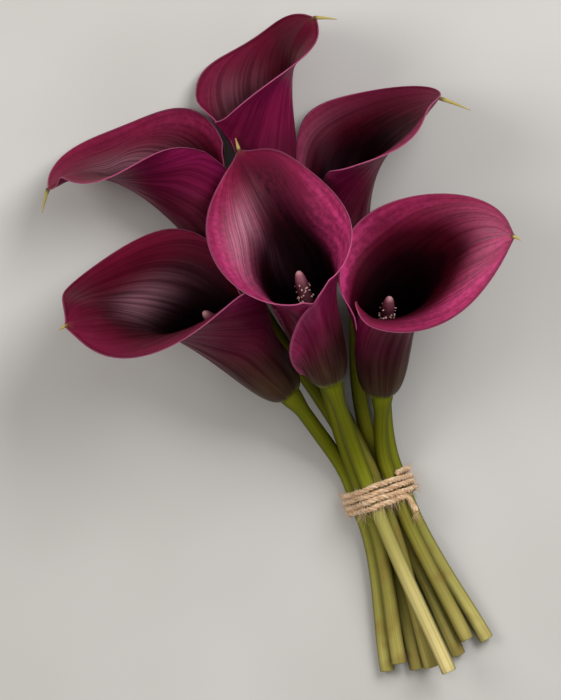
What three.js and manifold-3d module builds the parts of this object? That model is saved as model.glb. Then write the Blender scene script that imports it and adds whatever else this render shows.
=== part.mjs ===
// A tied bunch of eight calla lilies that lies on a surface: six open blooms and two young ones.
// Millimetres. +Y runs along the bunch from the cut stem ends to the blooms, +X is to the right,
// and +Z is up. While the bunch is laid out, the origin is below the middle of the tie, on the surface.
import * as THREE from "three";
import Module from "manifold-3d";

// ---------------------------------------------------------------- sizes shared by all lilies
const STEM_RADIUS = 3.45;
const STEM_GAP = 0.3;
const STEM_PITCH = 2 * STEM_RADIUS + STEM_GAP;
const STEM_SIDES = 10;
const NECK_RADIUS = 4.1;
const NECK_LENGTH = 12;
const SPATHE_THICKNESS = 0.9;
const SPATHE_FOOT_RADIUS = 4.9;
const MARGIN_GAP = 1.25;
const SOCKET_DEPTH = 2.5;
const SEAT_GAP = 0.35;
const SPADIX_RADIUS = 3.1;

// ---------------------------------------------------------------- the tie
const TWINE_RADIUS = 1.3;
const TWINE_TURNS = 4;
const TWINE_PITCH = 2 * TWINE_RADIUS + 0.3;
const TWINE_SIDES = 8;
const TWINE_START = 52;
const LOOSE_END = [2.2, -8, 1];
const TIE_HALF_LENGTH = 9;
const TIE_CENTRE_X = 2.3;
const ROW_RISE = STEM_PITCH * Math.sqrt(3) / 2;
const FIRST_ROW = 2 * TWINE_RADIUS + SEAT_GAP + STEM_RADIUS;
const SECOND_ROW = FIRST_ROW + ROW_RISE;
const THIRD_ROW = SECOND_ROW + ROW_RISE;

// ---------------------------------------------------------------- what most blooms share
const COMMON = {
  hand: 1,
  spike: 5,
  spikeWidth: 0.12,
  bulge: 46,
  bulgeLength: 7,
  wrapOut: 1.3,
  wrapIn: 0.8,
  hug: 1,
  tipSide: 0,
  lengthSkew: 0,
  lengthTwist: 0,
  lengthWide: 0,
  lengthThird: 0,
  flareSkew: 0,
  flareTwist: 0,
  flareThird: 0,
  bendBack: 0,
  bendSide: 0,
  bow: [0, 0],
  spadixLength: 52,
  spadixRadius: SPADIX_RADIUS,
  rests: false,
};

// Angles are in degrees, except fall, fadeIn, wrapIn and wrapOut, which are radians round the tube.
// heading: turn of the bloom to the left of +Y. rise: its climb from the surface. roll: turn about its
// own axis, with the pointed tip below at 0. tip and lip: length of the spathe from its foot to the
// pointed tip and to the low front. lengthWide adds to that at both sides; lengthSkew, lengthTwist and
// lengthThird add it in one, two and three waves round the rim, longer on one side than on the other.
// flare...: outward turn of the rim at the lip, the sides and the back, and its waves. tie: column and
// height of the stem in the tie. bow: how far the free part of the stem swings to the right and up.
// tail: reach of the drawn-out tip.
const LILIES = {
  front: {
    base: [0, 55, 50.6], heading: -3.8, rise: 20.6, roll: -2.3,
    tip: 115, lip: 59, shoulder: 0.79,
    lengthSkew: 0.4, lengthTwist: 0.9, lengthWide: -5.9, lengthThird: 0.9,
    cone: 3, flareLip: 71, flareSide: 12.2, flareBack: 8.4,
    flareSkew: -11.9, flareTwist: -3.2, flareThird: -2.5,
    curl: 19, bendBack: 23.3, bendSide: 2.2, tipSide: -9.1,
    fall: 2.82, fadeIn: 3, wrapOut: 1.5, hug: 0.34,
    tie: [-0.5, THIRD_ROW], cut: [2.8, -86.9, 18.3], tail: [0.5, 5, 2], spadixLength: 54,
  },
  right: {
    base: [19.4, 41.7, 34], heading: -21, rise: 26.3, roll: 84,
    tip: 108.5, lip: 36.3, shoulder: 0.44,
    lengthSkew: 4.3, lengthTwist: -2.8, lengthWide: -1, lengthThird: 0.7,
    cone: 3.9, flareLip: 27, flareSide: 52, flareBack: 43,
    flareSkew: -7, flareTwist: -7, flareThird: -0.8,
    curl: 22, bendBack: 12, bendSide: 26.7,
    fall: 2.19, fadeIn: 2.61, hug: 0.86,
    tie: [1, SECOND_ROW], cut: [15.6, -76.3, 8.6], tail: [2, -3.2, 1],
  },
  left: {
    base: [-19.9, 56.6, 34.5], heading: 21.7, rise: 19.2, roll: -103, hand: -1,
    tip: 121.5, lip: 36.3, shoulder: 0.5,
    lengthSkew: -8.5, lengthTwist: 7.3, lengthWide: 0.7, lengthThird: -2.2,
    cone: 5.7, flareLip: 29.5, flareSide: 43.8, flareBack: 24.6,
    flareSkew: 4, flareTwist: 11.7, flareThird: 1.5,
    curl: 8.4, bendBack: 15.7, bendSide: -10.4, tipSide: -2.6,
    fall: 2.95, fadeIn: 2.57, hug: 0.92,
    tie: [-1.5, FIRST_ROW], cut: [-23.2, -76.9, 3.45], bow: [-1, -0.3], tail: [-3, -1, -1], spadixLength: 58,
  },
  far_left: {
    base: [-20.1, 111, 19.2], heading: 4.4, rise: 4.1, roll: -84, hand: -1, rests: true,
    tip: 119.8, lip: 54, shoulder: 0.56,
    lengthSkew: 10.3, lengthTwist: 4.4, lengthWide: 0.9, lengthThird: -3.5,
    cone: 3, flareLip: 40.2, flareSide: 25.5, flareBack: 5.4,
    flareSkew: -7.7, flareTwist: -0.8, flareThird: -6,
    curl: 33, bendBack: 40, bendSide: -38.3, tipSide: -9.8,
    fall: 2.63, fadeIn: 2.91, hug: 0,
    tie: [-0.5, FIRST_ROW], cut: [-10.3, -80.9, 3.45], tail: [-5.5, -9.2, -3],
  },
  top: {
    base: [-2.4, 115.6, 17.3], heading: -23.8, rise: 3.5, roll: 97, rests: true,
    tip: 106.8, lip: 45.8, shoulder: 0.23,
    lengthSkew: 0.7, lengthTwist: 4.7, lengthWide: -1.2, lengthThird: -2.4,
    cone: 3, flareLip: 31, flareSide: 22.5, flareBack: 35,
    flareSkew: 6, flareThird: 2.7,
    curl: 44.7, bendBack: -35.4, bendSide: 30.8, tipSide: -4.6,
    fall: 1.89, fadeIn: 2.55,
    tie: [0, SECOND_ROW], cut: [-4.1, -82.3, 7.6], bow: [0.6, 0.6], tail: [9, -5, -1],
  },
  far_right: {
    base: [25.8, 94.3, 19.3], heading: -5.3, rise: 6.5, roll: 84, rests: true,
    tip: 106, lip: 34, shoulder: 0.57,
    lengthSkew: 0.3, lengthTwist: 3, lengthWide: 0.6, lengthThird: -1.3,
    cone: 3.1, flareLip: 26, flareSide: 38.5, flareBack: 36,
    flareSkew: -12.5, flareTwist: -9, flareThird: 0.3,
    curl: -39.7, bendBack: 40, bendSide: 39, tipSide: 1.7,
    fall: 2.05, fadeIn: 2.62,
    tie: [0.5, FIRST_ROW], cut: [9.6, -81.8, 3.45], bow: [-3, 0], tail: [11, -11, -2],
  },
  young_left: {
    base: [-2.5, 64, 28], heading: 3, rise: 0, roll: 0,
    tip: 37, lip: 26, shoulder: 0.6, bulge: 32, bulgeLength: 4,
    cone: 1.5, flareLip: 3, flareSide: 3, flareBack: 4, curl: 4, bendBack: 4, wrapOut: 1.1,
    fall: 2.6, fadeIn: 2.5, spadixLength: 20, spadixRadius: 2.6,
    tie: [-1, SECOND_ROW], cut: [-16.9, -75.4, 8.8], bow: [-0.6, 1], tail: [0, 3, 0],
  },
  young_right: {
    base: [26, 54, 12], heading: -26, rise: 0, roll: 20, hand: -1,
    tip: 52, lip: 32, shoulder: 0.6, bulge: 34, bulgeLength: 4.5,
    cone: 1.5, flareLip: 4, flareSide: 4, flareBack: 6, curl: 6, wrapOut: 1.1,
    fall: 2.6, fadeIn: 2.5, spadixLength: 26, spadixRadius: 2.6,
    tie: [1.5, FIRST_ROW], cut: [24, -79.6, 3.45], tail: [0, 4, 1],
  },
};

// ---------------------------------------------------------------- colours of the plain materials
const PURPLE = 0x8a1f5c;
const ROSE = 0xb06a80;
const GREEN = 0x7f8c35;
const JUTE = 0xb59a6c;

const radians = (degrees) => degrees * Math.PI / 180;

// Smooth step from 0 at a to 1 at b.
function ease(a, b, value) {
  const t = Math.min(Math.max((value - a) / (b - a), 0), 1);
  return t * t * (3 - 2 * t);
}

// Direction in which a bloom points.
function bloomAxis(lily) {
  const turn = radians(lily.heading);
  const climb = radians(lily.rise);
  return new THREE.Vector3(
    -Math.sin(turn) * Math.cos(climb),
    Math.cos(turn) * Math.cos(climb),
    Math.sin(climb),
  );
}

// Turn of a bloom's own frame. Its +Z runs along the bloom, its +X to the side of the pointed tip,
// and its -Y to the side that the margins and the bend count as positive.
function bloomTurn(lily) {
  const along = bloomAxis(lily);
  const turn = radians(lily.heading);
  const roll = radians(lily.roll);
  const right = new THREE.Vector3(Math.cos(turn), Math.sin(turn), 0);
  const down = along.clone().cross(right);
  const back = down.multiplyScalar(Math.cos(roll)).addScaledVector(right, Math.sin(roll));
  const axes = new THREE.Matrix4().makeBasis(back, along.clone().cross(back), along);
  return new THREE.Quaternion().setFromRotationMatrix(axes);
}

// Length of the spathe from its foot to its rim, at an angle round the tube. 0 is the pointed tip
// and pi is the low front, past which the two margins overlap and taper off.
function rimLength(lily, angle) {
  const turn = Math.min(Math.abs(angle), Math.PI);
  const sign = Math.sign(angle);
  const high = Math.max((1 + Math.cos(turn)) / 2, 1e-6);
  let length = lily.lip + (lily.tip - lily.lip) * high ** lily.shoulder;
  length += sign * (lily.lengthSkew * Math.sin(turn) + lily.lengthTwist * Math.sin(2 * turn));
  length += sign * lily.lengthThird * Math.sin(3 * turn) + lily.lengthWide * Math.sin(turn) ** 2;
  length += lily.spike * Math.exp(-Math.abs(angle) / lily.spikeWidth);
  const start = angle > 0 ? lily.fall : Math.PI - 0.1;
  const end = Math.PI + (angle > 0 ? lily.wrapOut : lily.wrapIn);
  const past = Math.min(Math.max((Math.abs(angle) - start) / (end - start), 0), 1);
  return length * (1 - 0.8 * past);
}

// Outward turn of the rim at an angle round the tube, in degrees.
function rimFlare(lily, angle) {
  const turn = Math.min(Math.abs(angle), Math.PI);
  const sign = Math.sign(angle);
  const high = (1 + Math.cos(turn)) / 2;
  let flare = lily.flareLip * (1 - high) ** 2 + lily.flareSide * 4 * high * (1 - high);
  flare += lily.flareBack * high ** 2;
  flare += sign * (lily.flareSkew * Math.sin(turn) + lily.flareTwist * Math.sin(2 * turn));
  flare += sign * lily.flareThird * Math.sin(3 * turn);
  const fade = angle > 0
    ? 1 - lily.hug * ease(lily.fall - 0.3, lily.fall + 0.7, angle)
    : 1 - ease(lily.fadeIn, lily.fadeIn + 0.6, -angle);
  return flare * fade;
}

// Height and radius of the spathe along one line from its foot to its rim.
function meridian(lily, angle, rows) {
  const steps = rows * 6;
  const length = rimLength(lily, angle);
  const flare = rimFlare(lily, angle);
  const tipCurl = lily.curl * Math.exp(-((angle / 0.8) ** 2));
  const line = [{ height: 0, radius: SPATHE_FOOT_RADIUS }];
  let height = 0;
  let radius = SPATHE_FOOT_RADIUS;
  for (let i = 0; i < steps; i += 1) {
    const t = (i + 0.5) / steps;
    let slope = lily.cone + lily.bulge * Math.exp(-t * length / lily.bulgeLength);
    slope += flare * ease(0.25, 1.05, t) + tipCurl * ease(0.72, 1, t);
    radius += Math.sin(radians(slope)) * length / steps;
    height += Math.cos(radians(slope)) * length / steps;
    if ((i + 1) % 6 === 0) {
      line.push({ height, radius });
    }
  }
  return line;
}

// Radius of a meridian at a height.
function radiusAt(line, height) {
  for (let i = 1; i < line.length; i += 1) {
    if (height <= line[i].height) {
      const low = line[i - 1];
      const part = (height - low.height) / Math.max(line[i].height - low.height, 1e-9);
      return low.radius + Math.max(part, 0) * (line[i].radius - low.radius);
    }
  }
  return line[line.length - 1].radius;
}

// A point in the bloom's own frame, given by its height on the axis and its offsets to the tip side
// and across, after the axis is bent into an arc.
function bentPoint(lily, height, toTip, across) {
  const bend = radians(Math.hypot(lily.bendBack, lily.bendSide));
  const aim = Math.atan2(lily.bendSide, lily.bendBack);
  if (bend < 1e-6) {
    return new THREE.Vector3(toTip, -across, height);
  }
  const arc = lily.tip / bend;
  const swing = height / arc;
  const inward = toTip * Math.cos(aim) + across * Math.sin(aim);
  const beside = -toTip * Math.sin(aim) + across * Math.cos(aim);
  const moved = arc - (arc - inward) * Math.cos(swing);
  return new THREE.Vector3(
    moved * Math.cos(aim) - beside * Math.sin(aim),
    -moved * Math.sin(aim) - beside * Math.cos(aim),
    (arc - inward) * Math.sin(swing),
  );
}

// Angles round a spathe, closer together near the pointed tip.
function spatheAngles(lily, columns) {
  const angles = [];
  for (let i = -columns; i <= columns; i += 1) {
    const u = Math.abs(i) / columns;
    const reach = Math.PI + (i > 0 ? lily.wrapOut : lily.wrapIn);
    angles.push(Math.sign(i) * reach * (0.45 * u + 0.55 * u * u));
  }
  return angles;
}

// Grid of points on the middle surface of a spathe. The outer margin lies on the inner one.
function spatheGrid(lily, columns, rows) {
  const overlapStart = Math.PI - lily.wrapIn;
  return spatheAngles(lily, columns).map((angle) => {
    const line = meridian(lily, angle, rows);
    const under = meridian(lily, angle - 2 * Math.PI, rows);
    const laid = ease(overlapStart - 0.5, overlapStart + 0.3, angle);
    return line.map(({ height, radius }, row) => {
      const t = row / rows;
      const outer = radiusAt(under, height) + MARGIN_GAP;
      const r = radius + laid * Math.max(outer - radius, 0);
      const pulled = lily.tipSide * Math.exp(-((angle / 0.6) ** 2)) * ease(0.5, 1, t);
      const across = r * Math.sin(angle) * lily.hand + pulled;
      return bentPoint(lily, height, r * Math.cos(angle), across);
    });
  });
}

// A closed mesh from flat lists of corners and triangles.
function meshGeometry(corners, triangles) {
  const geometry = new THREE.BufferGeometry();
  const flat = corners.flatMap((p) => [p.x, p.y, p.z]);
  geometry.setAttribute("position", new THREE.Float32BufferAttribute(flat, 3));
  geometry.setIndex(triangles);
  return geometry;
}

// Turns a grid of points into a closed sheet of even thickness.
function thickSheet(grid, thickness) {
  const n = grid.length;
  const m = grid[0].length;
  const normals = grid.map((line, i) => line.map((point, j) => {
    const across = grid[Math.min(i + 1, n - 1)][j].clone().sub(grid[Math.max(i - 1, 0)][j]);
    const up = line[Math.min(j + 1, m - 1)].clone().sub(line[Math.max(j - 1, 0)]);
    return across.cross(up).normalize();
  }));
  const corners = [];
  for (const face of [0.5, -0.5]) {
    grid.forEach((line, i) => line.forEach((point, j) => {
      corners.push(point.clone().addScaledVector(normals[i][j], face * thickness));
    }));
  }
  const front = (i, j) => i * m + j;
  const rear = (i, j) => n * m + i * m + j;
  const triangles = [];
  const quad = (a, b, c, d) => triangles.push(a, b, c, a, c, d);
  for (let i = 0; i < n - 1; i += 1) {
    for (let j = 0; j < m - 1; j += 1) {
      quad(front(i, j), front(i + 1, j), front(i + 1, j + 1), front(i, j + 1));
      triangles.push(rear(i, j), rear(i + 1, j + 1), rear(i + 1, j));
      triangles.push(rear(i, j), rear(i, j + 1), rear(i + 1, j + 1));
    }
    quad(rear(i, 0), rear(i + 1, 0), front(i + 1, 0), front(i, 0));
    quad(front(i, m - 1), front(i + 1, m - 1), rear(i + 1, m - 1), rear(i, m - 1));
  }
  for (let j = 0; j < m - 1; j += 1) {
    quad(rear(0, j + 1), rear(0, j), front(0, j), front(0, j + 1));
    quad(front(n - 1, j + 1), front(n - 1, j), rear(n - 1, j), rear(n - 1, j + 1));
  }
  return meshGeometry(corners, triangles);
}

// A closed tube along a path, with its own radius at each point and flat ends. The section is carried
// along without twisting, from the first outward direction, or is set to outward directions that are given.
function sweep(path, radii, sides, outward) {
  const corners = [];
  const triangles = [];
  let lean = Array.isArray(outward) ? outward[0].clone() : outward.clone();
  path.forEach((point, k) => {
    const ahead = path[Math.min(k + 1, path.length - 1)];
    const behind = path[Math.max(k - 1, 0)];
    const direction = ahead.clone().sub(behind).normalize();
    if (Array.isArray(outward)) {
      lean = outward[k].clone();
    }
    lean.addScaledVector(direction, -lean.dot(direction)).normalize();
    const cross = direction.clone().cross(lean);
    for (let s = 0; s < sides; s += 1) {
      const turn = (s + 0.5) * 2 * Math.PI / sides;
      corners.push(point.clone()
        .addScaledVector(lean, radii[k] * Math.cos(turn))
        .addScaledVector(cross, radii[k] * Math.sin(turn)));
    }
  });
  const last = path.length - 1;
  for (let k = 0; k < last; k += 1) {
    for (let s = 0; s < sides; s += 1) {
      const next = (s + 1) % sides;
      const a = k * sides + s;
      const b = k * sides + next;
      const c = (k + 1) * sides + next;
      const d = (k + 1) * sides + s;
      triangles.push(a, b, c, a, c, d);
    }
  }
  const startCentre = corners.push(path[0].clone()) - 1;
  const endCentre = corners.push(path[last].clone()) - 1;
  for (let s = 0; s < sides; s += 1) {
    const next = (s + 1) % sides;
    triangles.push(startCentre, next, s);
    triangles.push(endCentre, last * sides + s, last * sides + next);
  }
  return meshGeometry(corners, triangles);
}

// Points of a smooth curve between two ends with given directions of travel.
function smoothPath(from, fromPull, to, toPull, count) {
  const points = [];
  for (let i = 0; i <= count; i += 1) {
    const t = i / count;
    points.push(new THREE.Vector3()
      .addScaledVector(from, 2 * t ** 3 - 3 * t ** 2 + 1)
      .addScaledVector(fromPull, t ** 3 - 2 * t ** 2 + t)
      .addScaledVector(to, -2 * t ** 3 + 3 * t ** 2)
      .addScaledVector(toPull, t ** 3 - t ** 2));
  }
  return points;
}

// ---------------------------------------------------------------- joining solids
const manifold = await Module();
manifold.setup();

function toManifold(geometry) {
  const mesh = new manifold.Mesh({
    numProp: 3,
    vertProperties: new Float32Array(geometry.attributes.position.array),
    triVerts: new Uint32Array(geometry.index.array),
  });
  mesh.merge();
  return new manifold.Manifold(mesh);
}

function fromManifold(solid) {
  const mesh = solid.getMesh();
  const geometry = new THREE.BufferGeometry();
  geometry.setAttribute("position", new THREE.BufferAttribute(new Float32Array(mesh.vertProperties), 3));
  geometry.setIndex(Array.from(mesh.triVerts));
  return geometry;
}

// ---------------------------------------------------------------- the pieces of a lily

// The rolled spathe with the drawn-out end of its tip.
function spatheGeometry(lily, columns, rows) {
  const grid = spatheGrid(lily, columns, rows);
  const sheet = thickSheet(grid, SPATHE_THICKNESS);
  const middle = grid[columns];
  const root = middle[rows - 1].clone().lerp(middle[rows], 0.55);
  const rim = middle[rows];
  const inside = rim.clone().sub(root);
  const reach = new THREE.Vector3(...lily.tail).applyQuaternion(bloomTurn(lily).invert());
  const end = rim.clone().add(reach);
  const path = smoothPath(root, inside.clone().multiplyScalar(2), end, end.clone().sub(rim), 5);
  const radii = [0.55, 1.0, 0.95, 0.8, 0.6, 0.4];
  const tail = sweep(path, radii, 6, new THREE.Vector3(0, 1, 0));
  return fromManifold(toManifold(sheet).add(toManifold(tail)));
}

// The rounded spike in the throat, along the bloom's bent axis.
function spadixGeometry(lily) {
  const steps = 7;
  const start = SOCKET_DEPTH + SEAT_GAP;
  const path = [];
  const radii = [];
  for (let k = 0; k <= steps; k += 1) {
    const t = k / steps;
    path.push(bentPoint(lily, start + t * (lily.spadixLength - start), 0, 0));
    radii.push(lily.spadixRadius * Math.sqrt(1 - 0.86 * t ** 6) * (0.82 + 0.18 * ease(0, 0.3, t)));
  }
  return sweep(path, radii, 8, new THREE.Vector3(1, 0, 0));
}

// The middle line of a stem: from its cut end, straight through the tie, to the foot of the bloom.
function stemPath(lily) {
  const along = bloomAxis(lily);
  const column = TIE_CENTRE_X + lily.tie[0] * STEM_PITCH;
  const onward = new THREE.Vector3(0, 1, 0);
  const cut = new THREE.Vector3(...lily.cut);
  const low = new THREE.Vector3(column, -TIE_HALF_LENGTH, lily.tie[1]);
  const high = new THREE.Vector3(column, TIE_HALF_LENGTH, lily.tie[1]);
  const foot = new THREE.Vector3(...lily.base);
  const below = low.distanceTo(cut);
  const above = foot.distanceTo(high);
  const away = low.clone().sub(cut);
  const lower = smoothPath(cut, away, low, onward.clone().multiplyScalar(0.9 * below), 6);
  const upper = smoothPath(
    high,
    onward.clone().multiplyScalar(0.9 * above),
    foot,
    along.clone().multiplyScalar(0.8 * above),
    8,
  );
  upper.forEach((point, k) => {
    const swing = Math.sin(Math.PI * k / 8) ** 2;
    point.x += lily.bow[0] * swing;
    point.z += lily.bow[1] * swing;
  });
  return [...lower, ...upper, foot.clone().addScaledVector(along, SOCKET_DEPTH)];
}

// A stem of even thickness that swells in its neck, where it meets the bloom.
function stemGeometry(lily) {
  const path = stemPath(lily);
  const foot = path[path.length - 2];
  const swell = NECK_RADIUS - STEM_RADIUS;
  const radii = path.map((point) => (
    STEM_RADIUS + swell * (1 - ease(0, NECK_LENGTH, point.distanceTo(foot) - SOCKET_DEPTH))
  ));
  return sweep(path, radii, STEM_SIDES, new THREE.Vector3(0, 0, -1));
}

// ---------------------------------------------------------------- the twine

// The line that the middle of the twine follows round the packed stems: for each direction, the stem
// that lies furthest out carries it.
function twineRing(lilies, pointsPerTurn) {
  const centres = lilies.map((lily) => [TIE_CENTRE_X + lily.tie[0] * STEM_PITCH, lily.tie[1]]);
  const reach = STEM_RADIUS + SEAT_GAP + TWINE_RADIUS;
  const dense = [];
  for (let i = 0; i < 360; i += 1) {
    const turn = radians(TWINE_START + i);
    const x = Math.cos(turn);
    const z = Math.sin(turn);
    let best = centres[0];
    for (const centre of centres) {
      if (centre[0] * x + centre[1] * z > best[0] * x + best[1] * z + 1e-9) {
        best = centre;
      }
    }
    dense.push(new THREE.Vector2(best[0] + reach * x, best[1] + reach * z));
  }
  dense.push(dense[0].clone());
  const lengths = [0];
  for (let i = 1; i < dense.length; i += 1) {
    lengths.push(lengths[i - 1] + dense[i].distanceTo(dense[i - 1]));
  }
  const total = lengths[lengths.length - 1];
  const ring = [];
  let k = 0;
  for (let p = 0; p < pointsPerTurn; p += 1) {
    const along = total * p / pointsPerTurn;
    while (lengths[k + 1] < along) {
      k += 1;
    }
    const part = (along - lengths[k]) / (lengths[k + 1] - lengths[k]);
    ring.push(dense[k].clone().lerp(dense[k + 1], part));
  }
  return ring;
}

// Turns of twine side by side, with a loose end that leaves the first turn towards the cut ends.
function twineGeometry(lilies) {
  const perTurn = 26;
  const ring = twineRing(lilies, perTurn);
  const lowest = Math.min(...ring.map((p) => p.y));
  const turns = [];
  const outward = [];
  for (let i = 0; i <= TWINE_TURNS * perTurn; i += 1) {
    const here = ring[i % perTurn];
    const before = ring[(i + perTurn - 1) % perTurn];
    const after = ring[(i + 1) % perTurn];
    const tangent = after.clone().sub(before).normalize();
    const y = (i / perTurn - TWINE_TURNS / 2) * TWINE_PITCH;
    turns.push(new THREE.Vector3(here.x, y, here.y - lowest + TWINE_RADIUS));
    outward.push(new THREE.Vector3(tangent.y, 0, -tangent.x));
  }
  const start = turns[0].clone().add(new THREE.Vector3(...LOOSE_END));
  const onward = turns[1].clone().sub(turns[0]).setLength(7);
  const loose = smoothPath(start, new THREE.Vector3(0, 7, 0), turns[0], onward, 5).slice(0, -1);
  const path = [...loose, ...turns];
  outward.unshift(...loose.map(() => outward[0].clone()));
  const radii = path.map(() => TWINE_RADIUS / Math.cos(Math.PI / TWINE_SIDES));
  return sweep(path, radii, TWINE_SIDES, outward);
}

// ---------------------------------------------------------------- the whole bunch
function namedMesh(name, geometry, colour, roughness) {
  geometry.computeVertexNormals();
  const material = new THREE.MeshStandardMaterial({ color: colour, roughness });
  const mesh = new THREE.Mesh(geometry, material);
  mesh.name = name;
  return mesh;
}

// A bloom as a group of its own, at the top of its stem: the spathe with the spadix inside it.
function bloomGroup(name, lily) {
  const young = name.startsWith("young");
  const spathe = spatheGeometry(lily, young ? 8 : 13, young ? 6 : 9);
  const bloom = new THREE.Group();
  bloom.add(namedMesh(`spathe_${name}`, spathe, PURPLE, 0.4));
  bloom.add(namedMesh(`spadix_${name}`, spadixGeometry(lily), ROSE, 0.7));
  bloom.quaternion.copy(bloomTurn(lily));
  bloom.position.set(...lily.base);
  return bloom;
}

// Box round an object, from its vertices as they are placed.
function boxOf(object) {
  object.updateMatrixWorld(true);
  return new THREE.Box3().setFromObject(object, true);
}

function buildBunch() {
  const bunch = new THREE.Group();
  bunch.name = "calla_lily_bunch";
  const lilies = [];
  for (const [name, own] of Object.entries(LILIES)) {
    const lily = { ...COMMON, ...own };
    const bloom = bloomGroup(name, lily);
    if (lily.rests) {
      bloom.position.z -= boxOf(bloom).min.z;
      lily.base = bloom.position.toArray();
    }
    bunch.add(bloom);
    bunch.add(namedMesh(`stem_${name}`, stemGeometry(lily), GREEN, 0.5));
    lilies.push(lily);
  }
  bunch.add(namedMesh("twine", twineGeometry(lilies), JUTE, 0.9));
  return bunch;
}

const bunch = buildBunch();
const box = boxOf(bunch);
const middle = box.getCenter(new THREE.Vector3());
bunch.position.set(-middle.x, -middle.y, -box.min.z);

export default bunch;
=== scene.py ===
# %% [markdown]
# # A tied bunch of calla lilies
# A small hand-tied bunch of dark purple calla lilies lies on a pale table, seen from straight above.
# Each flower is one leaf, the spathe, rolled into a trumpet round a spike, the spadix. Six of them are
# open and two are still rolled up. The stems are held by a few turns of jute twine.
#
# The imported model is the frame. Its solids are faceted and plain, so every one of them is replaced here
# by a finer mesh that keeps its form and its place.

# %% Load the frame and keep its box
import math

import bpy
import numpy as np
from mathutils import Matrix, Vector
from mathutils.kdtree import KDTree


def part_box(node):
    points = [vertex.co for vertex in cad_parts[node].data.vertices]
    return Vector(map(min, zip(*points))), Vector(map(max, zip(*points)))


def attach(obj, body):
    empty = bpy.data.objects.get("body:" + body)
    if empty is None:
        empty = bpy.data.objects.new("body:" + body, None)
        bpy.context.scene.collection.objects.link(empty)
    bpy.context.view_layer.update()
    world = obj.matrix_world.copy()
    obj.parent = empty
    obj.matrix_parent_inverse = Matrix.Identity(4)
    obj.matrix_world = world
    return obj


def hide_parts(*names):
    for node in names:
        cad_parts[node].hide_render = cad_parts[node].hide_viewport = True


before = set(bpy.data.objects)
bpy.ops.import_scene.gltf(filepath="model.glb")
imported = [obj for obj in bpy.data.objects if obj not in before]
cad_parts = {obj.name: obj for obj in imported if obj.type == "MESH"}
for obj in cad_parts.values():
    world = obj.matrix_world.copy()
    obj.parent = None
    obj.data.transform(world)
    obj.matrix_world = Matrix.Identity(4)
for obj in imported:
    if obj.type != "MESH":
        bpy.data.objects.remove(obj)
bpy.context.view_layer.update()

# %% [markdown]
# ## Sizes
# The shapes below are worked out in millimetres, the way a maker would note them, and only turned into
# metres when a mesh is made. The bunch was laid out round the middle of its tie, and the frame's origin
# is below the middle of the whole bunch, so one shift carries the layout to its place in the frame.
# The sizes of the stems and the twine are those of the solids.

# %% Units and the place of the tie
MM = 0.001
STEM_RADIUS = 3.45
STEM_PITCH = 7.2
SEAT_GAP = 0.35
TWINE_RADIUS = 1.3
TWINE_TURNS = 4
TWINE_PITCH = 2.9
TWINE_START = 52
LOOSE_END = (2.2, -8, 1)
TIE_HALF_LENGTH = 9
TIE_CENTRE_X = 2.3
ROW_RISE = STEM_PITCH * math.sqrt(3) / 2
FIRST_ROW = 2 * TWINE_RADIUS + SEAT_GAP + STEM_RADIUS
SECOND_ROW = FIRST_ROW + ROW_RISE
THIRD_ROW = SECOND_ROW + ROW_RISE

TIE_PLACE = np.array([1.49, -64.84, 0])
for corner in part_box("twine"):
    from_tie = np.array(corner) / MM - TIE_PLACE
    print("a corner of the twine's solid, seen from the tie, mm:", from_tie.round(2))

# %% [markdown]
# ## The eight lilies
# A lily is described by where its bloom starts, where it points, and the outline of its spathe. Most
# values are shared, so a dictionary of common values is filled in with each lily's own.
#
# heading is the turn to the left of +Y, rise the climb from the table, and roll the turn about the
# bloom's own axis. tip and lip are the lengths of the spathe at its pointed tip and at its low front.
# The flare values say how far the rim turns outwards, and the bend values how the trumpet curves.
#
# tie is the stem's place in the tie: how many stems across from the middle, and the height of its row.
# cut is where its cut end lies, bow how it swings aside above the tie, and tail how far the green tip
# reaches past the rim. tone goes from fresh green to aged, pallor is how far the stem turns straw
# coloured towards its cut, and pollen is a number of crumbs.

# %% Describe the lilies
COMMON = dict(
    hand=1, spike=5, spike_width=0.12, bulge=46, bulge_length=7, wrap_out=1.3, wrap_in=0.8, hug=1,
    tip_side=0, length_skew=0, length_twist=0, length_wide=0, length_third=0,
    flare_skew=0, flare_twist=0, flare_third=0, bend_back=0, bend_side=0,
    bow=(0, 0), spadix_length=52, spadix_radius=3.1, rests=False, young=False, tone=0.5, pollen=0,
    greening=0.2, pallor=0.25,
)

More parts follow.
